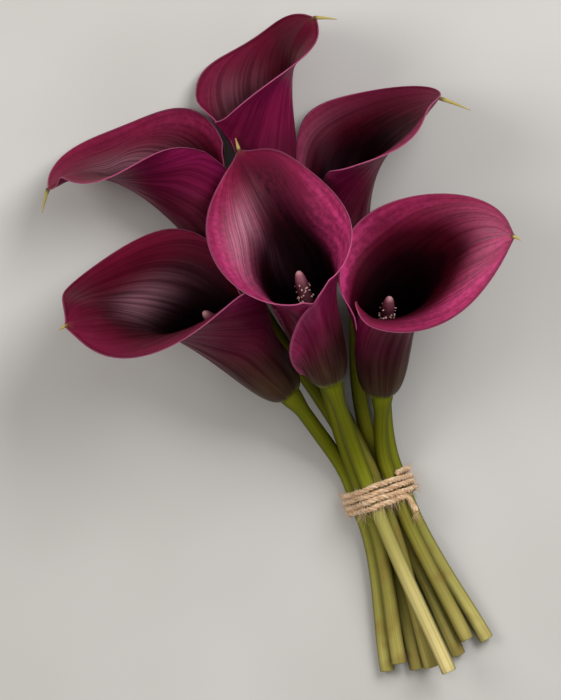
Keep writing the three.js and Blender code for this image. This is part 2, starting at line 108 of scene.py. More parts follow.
LILIES = {
    "front": dict(
        base=(0, 55, 50.6), heading=-3.8, rise=20.6, roll=-2.3,
        tip=115, lip=59, shoulder=0.79,
        length_skew=0.4, length_twist=0.9, length_wide=-5.9, length_third=0.9,
        cone=3, flare_lip=71, flare_side=12.2, flare_back=8.4,
        flare_skew=-11.9, flare_twist=-3.2, flare_third=-2.5,
        curl=19, bend_back=23.3, bend_side=2.2, tip_side=-9.1,
        fall=2.82, fade_in=3, wrap_out=1.5, hug=0.34,
        tie=(-0.5, THIRD_ROW), cut=(2.8, -86.9, 18.3), tail=(0.5, 5, 2), spadix_length=54,
        tone=0.3, pallor=1, pollen=46,
    ),
    "right": dict(
        base=(19.4, 41.7, 34), heading=-21, rise=26.3, roll=84,
        tip=108.5, lip=36.3, shoulder=0.44,
        length_skew=4.3, length_twist=-2.8, length_wide=-1, length_third=0.7,
        cone=3.9, flare_lip=27, flare_side=52, flare_back=43,
        flare_skew=-7, flare_twist=-7, flare_third=-0.8,
        curl=22, bend_back=12, bend_side=26.7,
        fall=2.19, fade_in=2.61, hug=0.86,
        tie=(1, SECOND_ROW), cut=(15.6, -76.3, 8.6), tail=(2, -3.2, 1),
        tone=0.7, pollen=46,
    ),
    "left": dict(
        base=(-19.9, 56.6, 34.5), heading=21.7, rise=19.2, roll=-103, hand=-1,
        tip=121.5, lip=36.3, shoulder=0.5,
        length_skew=-8.5, length_twist=7.3, length_wide=0.7, length_third=-2.2,
        cone=5.7, flare_lip=29.5, flare_side=43.8, flare_back=24.6,
        flare_skew=4, flare_twist=11.7, flare_third=1.5,
        curl=8.4, bend_back=15.7, bend_side=-10.4, tip_side=-2.6,
        fall=2.95, fade_in=2.57, hug=0.92,
        tie=(-1.5, FIRST_ROW), cut=(-23.2, -76.9, 3.45), bow=(-1, -0.3), tail=(-3, -1, -1), spadix_length=58,
        tone=0.1, pallor=0.4,
    ),
    "far_left": dict(
        base=(-20.1, 111, 19.2), heading=4.4, rise=4.1, roll=-84, hand=-1, rests=True,
        tip=119.8, lip=54, shoulder=0.56,
        length_skew=10.3, length_twist=4.4, length_wide=0.9, length_third=-3.5,
        cone=3, flare_lip=40.2, flare_side=25.5, flare_back=5.4,
        flare_skew=-7.7, flare_twist=-0.8, flare_third=-6,
        curl=33, bend_back=40, bend_side=-38.3, tip_side=-9.8,
        fall=2.63, fade_in=2.91, hug=0,
        tie=(-0.5, FIRST_ROW), cut=(-10.3, -80.9, 3.45), tail=(-5.5, -9.2, -3),
        tone=0.7,
    ),
    "top": dict(
        base=(-2.4, 115.6, 17.3), heading=-23.8, rise=3.5, roll=97, rests=True,
        tip=106.8, lip=45.8, shoulder=0.23,
        length_skew=0.7, length_twist=4.7, length_wide=-1.2, length_third=-2.4,
        cone=3, flare_lip=31, flare_side=22.5, flare_back=35,
        flare_skew=6, flare_third=2.7,
        curl=44.7, bend_back=-35.4, bend_side=30.8, tip_side=-4.6,
        fall=1.89, fade_in=2.55,
        tie=(0, SECOND_ROW), cut=(-4.1, -82.3, 7.6), bow=(0.6, 0.6), tail=(9, -5, -1),
        tone=0.8,
    ),
    "far_right": dict(
        base=(25.8, 94.3, 19.3), heading=-5.3, rise=6.5, roll=84, rests=True,
        tip=106, lip=34, shoulder=0.57,
        length_skew=0.3, length_twist=3, length_wide=0.6, length_third=-1.3,
        cone=3.1, flare_lip=26, flare_side=38.5, flare_back=36,
        flare_skew=-12.5, flare_twist=-9, flare_third=0.3,
        curl=-39.7, bend_back=40, bend_side=39, tip_side=1.7,
        fall=2.05, fade_in=2.62,
        tie=(0.5, FIRST_ROW), cut=(9.6, -81.8, 3.45), bow=(-3, 0), tail=(11, -11, -2),
        tone=0.6,
    ),
    "young_left": dict(
        base=(-2.5, 64, 28), heading=3, rise=0, roll=0,
        tip=37, lip=26, shoulder=0.6, bulge=32, bulge_length=4,
        cone=1.5, flare_lip=3, flare_side=3, flare_back=4, curl=4, bend_back=4, wrap_out=1.1,
        fall=2.6, fade_in=2.5, spadix_length=20, spadix_radius=2.6,
        tie=(-1, SECOND_ROW), cut=(-16.9, -75.4, 8.8), bow=(-0.6, 1), tail=(0, 3, 0),
        tone=0.6, young=True,
    ),
    "young_right": dict(
        base=(26, 54, 12), heading=-26, rise=0, roll=20, hand=-1,
        tip=52, lip=32, shoulder=0.6, bulge=34, bulge_length=4.5,
        cone=1.5, flare_lip=4, flare_side=4, flare_back=6, curl=6, wrap_out=1.1,
        fall=2.6, fade_in=2.5, spadix_length=26, spadix_radius=2.6,
        tie=(1.5, FIRST_ROW), cut=(24, -79.6, 3.45), tail=(0, 4, 1),
        tone=0.15, pallor=0.5, young=True,
    ),
}
LILIES = {name: {**COMMON, **own, "name": name} for name, own in LILIES.items()}
print("lilies:", len(LILIES), "of which open:", sum(not lily["young"] for lily in LILIES.values()))

# %% [markdown]
# ## Making a mesh piece
# Every piece is built from lists of points and faces. A small helper turns them into a mesh object,
# smooths its shading, stores named values on its points for the materials to read, gives it its material,
# and ties it to the frame: it rides on the root body and hides the solid of its node. Another one
# measures how far a finished piece's box is from the box of its solid. ease is a soft step from 0 to 1,
# which the shapes use wherever one thing fades into another.

# %% Mesh helpers
def make_piece(name, points, faces, material, node=None, values=None):
    mesh = bpy.data.meshes.new(name)
    placed = (np.asarray(points) + TIE_PLACE) * MM
    mesh.from_pydata(placed.tolist(), [], [list(face) for face in faces])
    mesh.validate()
    for key, numbers in (values or {}).items():
        layer = mesh.attributes.new(key, "FLOAT", "POINT")
        layer.data.foreach_set("value", np.asarray(numbers, dtype=np.float32))
    mesh.polygons.foreach_set("use_smooth", [True] * len(mesh.polygons))
    mesh.materials.append(material)
    piece = bpy.data.objects.new(name, mesh)
    bpy.context.scene.collection.objects.link(piece)
    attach(piece, "root")
    if node:
        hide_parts(node)
    return piece


def off_from_solid(piece, node):
    solid = np.array([list(corner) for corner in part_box(node)])
    corners = np.array([corner[:] for corner in piece.bound_box])
    fine = np.array([corners.min(axis=0), corners.max(axis=0)])
    return round(float(abs(fine - solid).max()) / MM, 2)


def ease(low, high, value):
    t = np.clip((value - low) / (high - low), 0, 1)
    return t * t * (3 - 2 * t)


# %% [markdown]
# ## The outline of a spathe
# Unrolled, a spathe is a pointed heart-shaped leaf. Rolled, it can be read as a fan of lines that run
# from its foot to its rim, one for each angle round the tube. Angle 0 holds the pointed tip, and the two
# margins overlap beyond half a turn. rim_length gives how long each line is, and rim_flare how far it
# turns outwards at its end.

# %% Length and flare round the rim
MARGIN_FALL = 0.8


def rim_length(lily, angle):
    turn = min(abs(angle), math.pi)
    sign = np.sign(angle)
    high = max((1 + math.cos(turn)) / 2, 1e-6)
    length = lily["lip"] + (lily["tip"] - lily["lip"]) * high ** lily["shoulder"]
    length += sign * (lily["length_skew"] * math.sin(turn) + lily["length_twist"] * math.sin(2 * turn))
    length += sign * lily["length_third"] * math.sin(3 * turn) + lily["length_wide"] * math.sin(turn) ** 2
    length += lily["spike"] * math.exp(-abs(angle) / lily["spike_width"])
    start = lily["fall"] if angle > 0 else math.pi - 0.1
    end = math.pi + (lily["wrap_out"] if angle > 0 else lily["wrap_in"])
    return length * (1 - MARGIN_FALL * np.clip((abs(angle) - start) / (end - start), 0, 1))


def rim_flare(lily, angle):
    turn = min(abs(angle), math.pi)
    sign = np.sign(angle)
    high = (1 + math.cos(turn)) / 2
    flare = lily["flare_lip"] * (1 - high) ** 2 + lily["flare_side"] * 4 * high * (1 - high)
    flare += lily["flare_back"] * high ** 2
    flare += sign * (lily["flare_skew"] * math.sin(turn) + lily["flare_twist"] * math.sin(2 * turn))
    flare += sign * lily["flare_third"] * math.sin(3 * turn)
    if angle > 0:
        return flare * (1 - lily["hug"] * ease(lily["fall"] - 0.3, lily["fall"] + 0.7, angle))
    return flare * (1 - ease(lily["fade_in"], lily["fade_in"] + 0.6, -angle))


# %% [markdown]
# ## The line from foot to rim
# Each line leaves the stem in a small bulge, runs up the cone of the tube, and bends outwards more and
# more towards the rim. The one that runs to the tip curls back besides. Adding up many short steps is
# easier than finding one curve that does all this.

# %% Height and radius along one line
SPATHE_FOOT_RADIUS = 4.9
STEPS_PER_ROW = 3
FLARE_BAND = (0.25, 1.05)
CURL_BAND = (0.72, 1)
CURL_WIDTH = 0.8


def meridian(lily, angle, rows):
    steps = rows * STEPS_PER_ROW
    length = rim_length(lily, angle)
    t = (np.arange(steps) + 0.5) / steps
    slope = lily["cone"] + lily["bulge"] * np.exp(-t * length / lily["bulge_length"])
    slope = slope + rim_flare(lily, angle) * ease(*FLARE_BAND, t)
    slope = slope + lily["curl"] * math.exp(-((angle / CURL_WIDTH) ** 2)) * ease(*CURL_BAND, t)
    step = length / steps
    radius = SPATHE_FOOT_RADIUS + np.concatenate([[0], np.cumsum(np.sin(np.radians(slope)) * step)])
    height = np.concatenate([[0], np.cumsum(np.cos(np.radians(slope)) * step)])
    return height[::STEPS_PER_ROW], radius[::STEPS_PER_ROW], length


# %% [markdown]
# ## Bending and placing a bloom
# The straight trumpet is bent into an arc, because every bloom nods a little, and is then turned and
# moved to the top of its stem. Its three directions are: along its axis, towards the side of the tip,
# and across.

# %% From bloom coordinates to the table
def bloom_axes(lily):
    turn, climb, roll = (math.radians(lily[key]) for key in ("heading", "rise", "roll"))
    along = np.array([
        -math.sin(turn) * math.cos(climb),
        math.cos(turn) * math.cos(climb),
        math.sin(climb),
    ])
    right = np.array([math.cos(turn), math.sin(turn), 0])
    down = np.cross(along, right)
    to_tip = down * math.cos(roll) + right * math.sin(roll)
    return along, to_tip, np.cross(to_tip, along)


def bloom_point(lily, height, to_tip, across):
    height, to_tip, across = np.broadcast_arrays(height, to_tip, across)
    bend = math.radians(math.hypot(lily["bend_back"], lily["bend_side"]))
    if bend > 1e-6:
        aim = math.atan2(lily["bend_side"], lily["bend_back"])
        arc = lily["tip"] / bend
        swing = height / arc
        inward = to_tip * math.cos(aim) + across * math.sin(aim)
        beside = -to_tip * math.sin(aim) + across * math.cos(aim)
        moved = arc - (arc - inward) * np.cos(swing)
        height = (arc - inward) * np.sin(swing)
        to_tip = moved * math.cos(aim) - beside * math.sin(aim)
        across = moved * math.sin(aim) + beside * math.cos(aim)
    axes = bloom_axes(lily)
    return np.array(lily["base"]) + sum(
        part[..., None] * axis for part, axis in zip((height, to_tip, across), axes)
    )


# %% [markdown]
# ## The middle surface of a spathe
# The lines side by side give a grid of points. Where the margins overlap, the outer one has to lie on
# the inner one, so its radius is pushed out to the inner layer's plus a small gap. Fine ribs follow the
# veins, a shallow fold runs into the tip, and the tip may be pulled to one side.
#
# The veins of a real spathe start at the foot and gather again at the tip, side by side with the rim.
# Each point therefore gets a vein number: its angle divided by the angle at which the rim passes through
# the same height.

# %% Grid of a spathe
MARGIN_GAP = 1.25
RIB_HEIGHT = 0.09
RIB_COUNT = 9
FOLD_DEPTH = 0.5
FOLD_WIDTH = 0.03
TIP_WIDTH = 0.6


def vein_numbers(lily, angles, lengths, rows):
    travelled = lengths[:, None] * np.linspace(0, 1, rows + 1)[None, :]
    veins = np.zeros_like(travelled)
    for sign in (-1, 1):
        mine = (np.sign(angles) == sign) if sign < 0 else (angles >= 0)
        reach = math.pi + (lily["wrap_out"] if sign > 0 else lily["wrap_in"])
        fan = np.linspace(0.02, math.pi, 120)
        reached = np.array([rim_length(lily, sign * a) for a in fan])
        reached = np.minimum.accumulate(reached)
        limit = np.interp(travelled[mine], reached[::-1], fan[::-1], left=math.pi, right=0.02)
        limit = np.maximum(limit + (reach - math.pi) * ease(0.6 * math.pi, math.pi, limit), 0.3)
        veins[mine] = np.clip(angles[mine][:, None] / limit, -1.2, 1.2)
    return veins


def spathe_grid(lily, columns, rows):
    u = np.linspace(-1, 1, 2 * columns + 1)
    reach = np.where(u > 0, math.pi + lily["wrap_out"], math.pi + lily["wrap_in"])
    angles = np.sign(u) * reach * (0.45 * np.abs(u) + 0.55 * u * u)
    t = np.linspace(0, 1, rows + 1)
    heights, radii, lengths = [], [], []
    for angle in angles:
        height, radius, length = meridian(lily, angle, rows)
        under_height, under_radius, _ = meridian(lily, angle - 2 * math.pi, rows)
        laid = ease(math.pi - lily["wrap_in"] - 0.5, math.pi - lily["wrap_in"] + 0.3, angle)
        outer = np.interp(height, under_height, under_radius) + MARGIN_GAP
        heights.append(height)
        radii.append(radius + laid * np.maximum(outer - radius, 0))
        lengths.append(length)
    heights, radii, lengths = np.array(heights), np.array(radii), np.array(lengths)
    veins = vein_numbers(lily, angles, lengths, rows)
    ribs = np.cos(2 * math.pi * RIB_COUNT * veins) * ease(0.12, 0.4, t) * ease(1.0, 0.9, t)
    fold = np.exp(-((veins / FOLD_WIDTH) ** 2)) * ease(0.5, 0.95, t)
    radii = radii + RIB_HEIGHT * ribs - FOLD_DEPTH * fold
    pulled = lily["tip_side"] * np.exp(-((angles / TIP_WIDTH) ** 2))[:, None] * ease(0.5, 1, t)
    across = radii * np.sin(angles)[:, None] * lily["hand"] + pulled
    points = bloom_point(lily, heights, radii * np.cos(angles)[:, None], across)
    around = np.broadcast_to(angles[:, None], heights.shape)
    return points, dict(vein=veins, along=np.broadcast_to(t, heights.shape), height=heights, angle=around)


# %% [markdown]
# ## Giving the sheet its thickness
# The grid is copied to both sides along its normals. A spathe is fleshy low down and thin at its rim,
# and thins out again over its last few millimetres, where it grows out of the stem. Its rim is rounded,
# so one more line of points runs round the whole edge between the two sides. Each point also stores how
# far it is from the nearest edge: the pale line along the rim needs it.

# %% Thick sheet with a rounded edge
FLESH_THICKNESS = 0.9
RIM_THICKNESS = 0.55
RIM_BAND = 25
FOOT_BAND = 4
FOOT_SHARE = 0.3


def unit(vectors):
    return vectors / np.maximum(np.linalg.norm(vectors, axis=-1, keepdims=True), 1e-9)


def edge_loop(n, m):
    rim = [(i, m - 1) for i in range(n)]
    outer = [(n - 1, j) for j in range(m - 2, -1, -1)]
    foot = [(i, 0) for i in range(n - 2, -1, -1)]
    inner = [(0, j) for j in range(1, m - 1)]
    return rim + outer + foot + inner


def thick_sheet(points, rim_distance, height):
    n, m = points.shape[:2]
    normal = unit(np.cross(np.gradient(points, axis=0), np.gradient(points, axis=1)))
    centre = points[:, : m // 3].mean(axis=(0, 1))
    outward = np.sum(normal[:, : m // 3] * (points[:, : m // 3] - centre), axis=-1).mean()
    normal = normal * np.sign(outward)
    thick = RIM_THICKNESS + (FLESH_THICKNESS - RIM_THICKNESS) * ease(0, RIM_BAND, rim_distance)
    thick = thick * (FOOT_SHARE + (1 - FOOT_SHARE) * ease(0, FOOT_BAND, height))
    half = thick[..., None] * normal / 2
    loop = edge_loop(n, m)
    away = unit(np.array([
        points[i, j] - points[min(max(i, 1), n - 2), min(max(j, 1), m - 2)] for i, j in loop
    ]))
    edge = np.array([points[i, j] + away[k] * thick[i, j] * 0.45 for k, (i, j) in enumerate(loop)])
    corners = np.concatenate([(points + half).reshape(-1, 3), (points - half).reshape(-1, 3), edge])
    size = n * m
    faces = []
    for i in range(n - 1):
        for j in range(m - 1):
            a, b, c, d = i * m + j, (i + 1) * m + j, (i + 1) * m + j + 1, i * m + j + 1
            faces.append((a, b, c, d))
            faces.append((size + a, size + d, size + c, size + b))
    for k, (i, j) in enumerate(loop):
        p, q = loop[(k + 1) % len(loop)]
        here, there = i * m + j, p * m + q
        mid, next_mid = 2 * size + k, 2 * size + (k + 1) % len(loop)
        faces.append((there, here, mid, next_mid))
        faces.append((next_mid, mid, size + here, size + there))
    if outward < 0:
        faces = [face[::-1] for face in faces]
    return corners, faces, loop


def distance_to_edge(points):
    n, m = points.shape[:2]
    rim = [points[i, m - 1] for i in range(n)]
    rim += [points[n - 1, j] for j in range(m // 3, m - 1)]
    tree = KDTree(len(rim))
    for k, point in enumerate(rim):
        tree.insert(point, k)
    tree.balance()
    flat = [tree.find(point)[2] for point in points.reshape(-1, 3)]
    return np.array(flat).reshape(n, m)


# %% [markdown]
# ## Tubes along a path
# Stems, twine and the drawn-out tips of the spathes are all tubes along a path. The section is carried
# along the path without twisting, so that stripes on a stem stay straight. Blender could bevel a curve
# instead, but points made here can carry values for the materials.

# %% Rings of faces and lengths of paths
def ring_faces(first, second, sides):
    steps = [(side, (side + 1) % sides) for side in range(sides)]
    return [(first + s, first + after, second + after, second + s) for s, after in steps]


def turned_over(faces):
    return [face[:1] + face[:0:-1] for face in faces]


def moved_on(faces, start):
    return [tuple(k + start for k in face) for face in faces]


def length_so_far(path):
    return np.concatenate([[0], np.cumsum(np.linalg.norm(np.diff(path, axis=0), axis=1))])


# %% Sweep a round section along a path
def carried_frames(path, lean):
    tangents = unit(np.gradient(path, axis=0))
    frames = []
    for tangent in tangents:
        lean = lean - tangent * np.dot(lean, tangent)
        lean = lean / np.linalg.norm(lean)
        frames.append((lean, np.cross(tangent, lean)))
    return np.array(frames)


def sweep(path, radii, sides, lean):
    path = np.asarray(path, dtype=float)
    frames = carried_frames(path, np.asarray(lean, dtype=float))
    turns = np.arange(sides) * 2 * math.pi / sides
    forward, sideways = frames[:, None, 0], frames[:, None, 1]
    ring = np.cos(turns)[None, :, None] * forward + np.sin(turns)[None, :, None] * sideways
    radii = np.broadcast_to(np.asarray(radii, dtype=float).reshape(len(path), -1), (len(path), sides))
    points = (path[:, None] + ring * radii[..., None]).reshape(-1, 3)
    faces = []
    for k in range(len(path) - 1):
        faces += ring_faces(k * sides, (k + 1) * sides, sides)
    faces.append(tuple(range(sides))[::-1])
    last = (len(path) - 1) * sides
    faces.append(tuple(range(last, last + sides)))
    return points, faces


def smooth_path(start, start_pull, end, end_pull, count):
    t = np.linspace(0, 1, count + 1)[:, None]
    return (
        (2 * t**3 - 3 * t**2 + 1) * np.asarray(start)
        + (t**3 - 2 * t**2 + t) * np.asarray(start_pull)
        + (3 * t**2 - 2 * t**3) * np.asarray(end)
        + (t**3 - t**2) * np.asarray(end_pull)
    )


# %% [markdown]
# ## Materials: values that they share
# The points of a mesh carry named values, such as how far along the leaf they are. A material reads them
# with an Attribute node, which keeps every stripe tied to the shape, whatever way the flower is turned.
# Wiring nodes in code is wordy, so each helper here adds one node and returns its output. Where a helper
# takes a value, it may be a number, a colour or another node's output.

# %% Node helpers
def node(tree, kind, **settings):
    made = tree.nodes.new(kind)
    for key, value in settings.items():
        setattr(made, key, value)
    return made


def feed(tree, sockets, values):
    for socket, value in zip(sockets, values):
        if isinstance(value, (int, float)):
            socket.default_value = value
        elif isinstance(value, tuple):
            socket.default_value = (*value, 1) if socket.type == "RGBA" else value
        else:
            tree.links.new(value, socket)


def fill(tree, made, values):
    feed(tree, [made.inputs[title] for title in values], values.values())


def stored(tree, *names):
    return [node(tree, "ShaderNodeAttribute", attribute_name=name).outputs["Fac"] for name in names]


def math_node(tree, operation, *values):
    made = node(tree, "ShaderNodeMath", operation=operation)
    feed(tree, made.inputs, values)
    return made.outputs[0]


def times(tree, first, second):
    return math_node(tree, "MULTIPLY", first, second)


def map_range(tree, value, low, high, to_low=0.0, to_high=1.0):
    made = node(tree, "ShaderNodeMapRange", interpolation_type="SMOOTHSTEP")
    feed(tree, made.inputs[0:5], (value, low, high, to_low, to_high))
    return made.outputs[0]


def mix_value(tree, factor, first, second):
    made = node(tree, "ShaderNodeMix", data_type="FLOAT")
    feed(tree, (made.inputs[0], made.inputs[2], made.inputs[3]), (factor, first, second))
    return made.outputs[0]


# %% [markdown]
# ## Colours
# Colours are noted as they look on a screen, from 0 to 255, and turned into the linear values that
# Blender works with. A ramp gives a colour for each place along a leaf or a stem. Mixing lays one colour
# over another, and darkening multiplies it, which keeps its hue.

# %% Colour helpers
def srgb(red, green, blue):
    return tuple(
        c / 12.92 if c <= 0.04045 else ((c + 0.055) / 1.055) ** 2.4
        for c in (red / 255, green / 255, blue / 255)
    )


def ramp(tree, factor, stops):
    made = node(tree, "ShaderNodeValToRGB")
    made.color_ramp.interpolation = "EASE"
    elements = made.color_ramp.elements
    while len(elements) < len(stops):
        elements.new(0.5)
    for element, (place, colour) in zip(elements, stops):
        element.position = place
        element.color = (*colour, 1)
    tree.links.new(factor, made.inputs[0])
    return made.outputs["Color"]


def mix_colour(tree, factor, first, second, blend="MIX"):
    made = node(tree, "ShaderNodeMix", data_type="RGBA", blend_type=blend, clamp_factor=True)
    feed(tree, (made.inputs[0], made.inputs[6], made.inputs[7]), (factor, first, second))
    return made.outputs[2]


def darken(tree, factor, body, share):
    return mix_colour(tree, factor, body, share, "MULTIPLY")


# %% [markdown]
# ## A material and its relief
# Every material starts from a Principled BSDF. Its finest relief, finer than the mesh carries, comes from
# a Bump node, whose distance is the real height of the relief.

# %% Material helpers
FINE_RELIEF = 0.0002


def new_material(name):
    material = bpy.data.materials.new(name)
    material.use_nodes = True
    return material, material.node_tree, material.node_tree.nodes["Principled BSDF"]


def add_bump(tree, skin, relief, strength, distance=FINE_RELIEF):
    bump = node(tree, "ShaderNodeBump")
    fill(tree, bump, {"Strength": strength, "Distance": distance, "Height": relief})
    tree.links.new(bump.outputs[0], skin.inputs["Normal"])


def new_group(name, inputs, outputs):
    group = bpy.data.node_groups.new(name, "ShaderNodeTree")
    for title, value in inputs.items():
        socket = group.interface.new_socket(title, in_out="INPUT", socket_type="NodeSocketFloat")
        socket.default_value = value
    for title in outputs:
        group.interface.new_socket(title, in_out="OUTPUT", socket_type="NodeSocketFloat")
    return group, group.nodes.new("NodeGroupInput"), group.nodes.new("NodeGroupOutput")


def place_group(tree, group, **values):
    made = node(tree, "ShaderNodeGroup", node_tree=group)
    fill(tree, made, values)
    return made


# %% [markdown]
# ## Streaks
# Veins and fibres are long and thin: noise that is squeezed across the vein number and stretched along
# the leaf gives irregular stripes of the right kind. A broad layer makes the bands of lighter and darker
# colour, and a fine one the hairlines. Leaf, stem and jute all use it, so it is a node group.

# %% Node group for streaks
def build_streaks():
    inputs = {"Across": 0.0, "Along": 0.0, "Seed": 0.0, "Bands": 10.0, "Hairs": 60.0}
    group, entry, leave = new_group("streaks", inputs, ("Broad", "Fine"))
    for output, count, stretch, detail in (("Broad", "Bands", 1.1, 3.0), ("Fine", "Hairs", 2.2, 2.0)):
        place = node(group, "ShaderNodeCombineXYZ")
        across = times(group, entry.outputs["Across"], entry.outputs[count])
        along = times(group, entry.outputs["Along"], stretch)
        feed(group, place.inputs, (across, along, entry.outputs["Seed"]))
        noise = node(group, "ShaderNodeTexNoise")
        fill(group, noise, {"Vector": place.outputs[0], "Scale": 1.0, "Detail": detail, "Roughness": 0.55})
        group.links.new(noise.outputs["Fac"], leave.inputs[output])
    return group


STREAKS = build_streaks()

# %% [markdown]
# ## Blotches and grain
# Nothing that has grown is of one even colour. Soft blotches come from noise in the object's own space.
# The same noise at a much smaller scale is the grain of the surface, which breaks up the gloss.

# %% Node group for blotches and grain
def build_blotches():
    group, entry, leave = new_group("blotches", {"Scale": 60.0, "Grain Scale": 2500.0}, ("Blotch", "Grain"))
    place = node(group, "ShaderNodeTexCoord")
    for output, scale in (("Blotch", "Scale"), ("Grain", "Grain Scale")):
        noise = node(group, "ShaderNodeTexNoise")
        fill(group, noise, {"Vector": place.outputs["Object"], "Scale": entry.outputs[scale], "Detail": 2.0})
        group.links.new(noise.outputs["Fac"], leave.inputs[output])
    return group


BLOTCHES = build_blotches()
print("node groups:", STREAKS.name, BLOTCHES.name)

# %% [markdown]
# ## The two sides of a spathe
# Inside, the leaf goes from black deep in the throat through wine red to a crimson rim. The black is partly
# the leaf's own dark colour and partly painted shade of the deep tube. Outside, the tube is a dusky brown
# purple that turns to violet magenta higher up. Both are streaked along the veins, in broad dark bands and
# in hairlines, and they are duller in soft patches. A painted image could hold all this, but colours that
# follow the stored values need no unwrapping and no file.

# %% Ground colour of a spathe
def two_sides(tree, along, height, inner, streaks):
    wander = times(tree, math_node(tree, "SUBTRACT", streaks.outputs["Broad"], 0.5), 0.25)
    # near black deep in the throat: partly the leaf's own colour, partly painted shade of the deep tube
    inside = ramp(tree, math_node(tree, "ADD", along, wander), [
        (0.50, srgb(3, 0, 0)),
        (0.64, srgb(22, 1, 5)),
        (0.76, srgb(62, 6, 20)),
        (0.88, srgb(108, 18, 44)),
        (1.00, srgb(134, 28, 62)),
    ])
    up_the_tube = map_range(tree, height, 0.0, 34.0, 0.4, 1.0)
    outside = ramp(tree, math_node(tree, "ADD", times(tree, along, up_the_tube), wander), [
        (0.04, srgb(76, 56, 38)),
        (0.20, srgb(78, 42, 40)),
        (0.42, srgb(104, 32, 56)),
        (0.68, srgb(130, 26, 72)),
        (0.98, srgb(142, 28, 86)),
    ])
    return mix_colour(tree, inner, outside, inside)


def vein_marks(tree, body, streaks, blotches):
    bands = map_range(tree, streaks.outputs["Broad"], 0.38, 0.62, 0.0, 0.6)
    hairs = map_range(tree, streaks.outputs["Fine"], 0.46, 0.68, 0.0, 0.68)
    dull = map_range(tree, blotches.outputs["Blotch"], 0.35, 0.7, 0.0, 0.5)
    body = darken(tree, bands, body, (0.4, 0.3, 0.34))
    body = darken(tree, hairs, body, (0.55, 0.4, 0.46))
    return darken(tree, dull, body, (0.55, 0.45, 0.5))


# %% [markdown]
# ## Painted glow, painted highlight, dark band and edge
# A bloom is not coloured evenly round its rim. Where light would shine through the thin rim, a dappled pink
# magenta glow is painted in. A few places carry a painted highlight, laid in as pale dusty streaks, a darker
# band can run down the leaf at a given angle, and a pale hairline follows the edge, wider where the glow is
# painted. How strong each is comes from values stored on the mesh, because every bloom in the bunch has its
# own pattern.

# %% Marks on a spathe
def petal_marks(tree, body, streaks, inner, edge):
    painted_glow, painted_highlight, dark_band = stored(tree, "painted_glow", "painted_highlight", "dark_band")
    dapple = place_group(tree, BLOTCHES, Scale=420.0).outputs["Blotch"]
    mostly_inside = math_node(tree, "MULTIPLY_ADD", inner, 0.88, 0.12)
    dappled = times(tree, mostly_inside, map_range(tree, dapple, 0.35, 0.65, 0.72, 1.3))
    uneven = times(tree, map_range(tree, streaks.outputs["Broad"], 0.3, 0.65, 1.25, 0.45), dappled)
    # painted glow: a dappled pink magenta tint where light would shine through the rim
    body = mix_colour(tree, times(tree, painted_glow, uneven), body, srgb(200, 62, 124))
    # painted highlight: pale dusty streaks laid into the colour
    painted_highlight_streaks = times(tree, painted_highlight, map_range(tree, streaks.outputs["Fine"], 0.35, 0.65, 1.3, 0.5))
    body = mix_colour(tree, times(tree, painted_highlight_streaks, inner), body, srgb(206, 146, 166))
    # a darker band down the leaf at a given angle round the mouth
    body = darken(tree, times(tree, times(tree, dark_band, uneven), inner), body, (0.2, 0.16, 0.18))
    # the pale hairline is wider where the glow is painted
    line_width = math_node(tree, "MULTIPLY_ADD", painted_glow, 1.4, 0.6)
    line = map_range(tree, edge, line_width, 0.2, 0.0, 0.55)
    return mix_colour(tree, line, body, srgb(188, 100, 138))


# %% [markdown]
# ## Foot and tail of a spathe
# Where the stem grows into the spathe, the outside is green for a few millimetres and dusky above that,
# with a ragged edge. The drawn-out tip stays green, and straw yellow at its very end.

# %% Green parts of a spathe
def foot_and_tail(tree, body, streaks, height, inner):
    tail = stored(tree, "tail")[0]
    outer = math_node(tree, "SUBTRACT", 1.0, inner)
    ragged = math_node(tree, "ADD", height, times(tree, streaks.outputs["Fine"], 7.0))
    dusky = times(tree, map_range(tree, ragged, 13.0, 5.5, 0.0, 0.75), outer)
    body = mix_colour(tree, dusky, body, srgb(66, 48, 34))
    foot = times(tree, map_range(tree, ragged, 6.6, 4.2), outer)
    body = mix_colour(tree, foot, body, srgb(104, 108, 26))
    green = mix_colour(tree, map_range(tree, tail, 0.7, 1.0), srgb(104, 112, 38), srgb(176, 164, 92))
    return mix_colour(tree, tail, body, green)


# %% [markdown]
# ## The skin of a spathe
# The surface is satin, and its gloss is broken along the veins. A plain specular layer would lay a grey
# haze over the dark throat, so it is kept very low. A thin coat gives the sheen instead, evenly outside,
# and inside only where the stored satin value asks for it. A little light passes through the flesh.

# %% Spathe material
def build_spathe_material():
    material, tree, skin = new_material("spathe skin")
    vein, along, edge, height, inner, seed = stored(tree, "vein", "along", "edge", "height", "inner", "seed")
    satin, lightness = stored(tree, "satin", "lightness")
    streaks = place_group(tree, STREAKS, Across=vein, Along=along, Seed=seed, Bands=9.0, Hairs=48.0)
    blotches = place_group(tree, BLOTCHES, Scale=45.0)
    fine = streaks.outputs["Fine"]

    body = two_sides(tree, along, height, inner, streaks)
    body = darken(tree, 1.0, body, lightness)
    body = vein_marks(tree, body, streaks, blotches)
    body = petal_marks(tree, body, streaks, inner, edge)
    body = foot_and_tail(tree, body, streaks, height, inner)
    sheen = mix_value(tree, inner, 0.2, satin)
    fill(tree, skin, {
        "Base Color": body,
        "Roughness": map_range(tree, fine, 0.3, 0.7, 0.4, 0.56),
        "Specular IOR Level": 0.06,
        "Specular Tint": (1.0, 0.42, 0.66),
        "Coat Weight": times(tree, sheen, map_range(tree, fine, 0.36, 0.6, 1.3, 0.4)),
        "Coat Roughness": 0.36,
        "Coat IOR": 1.42,
        "Subsurface Weight": 0.3,
        "Subsurface Radius": (1.0, 0.3, 0.55),
        "Subsurface Scale": 0.002,
    })
    grain = times(tree, blotches.outputs["Grain"], 0.25)
    add_bump(tree, skin, math_node(tree, "ADD", fine, grain), 0.35)
    return material


SPATHE_SKIN = build_spathe_material()
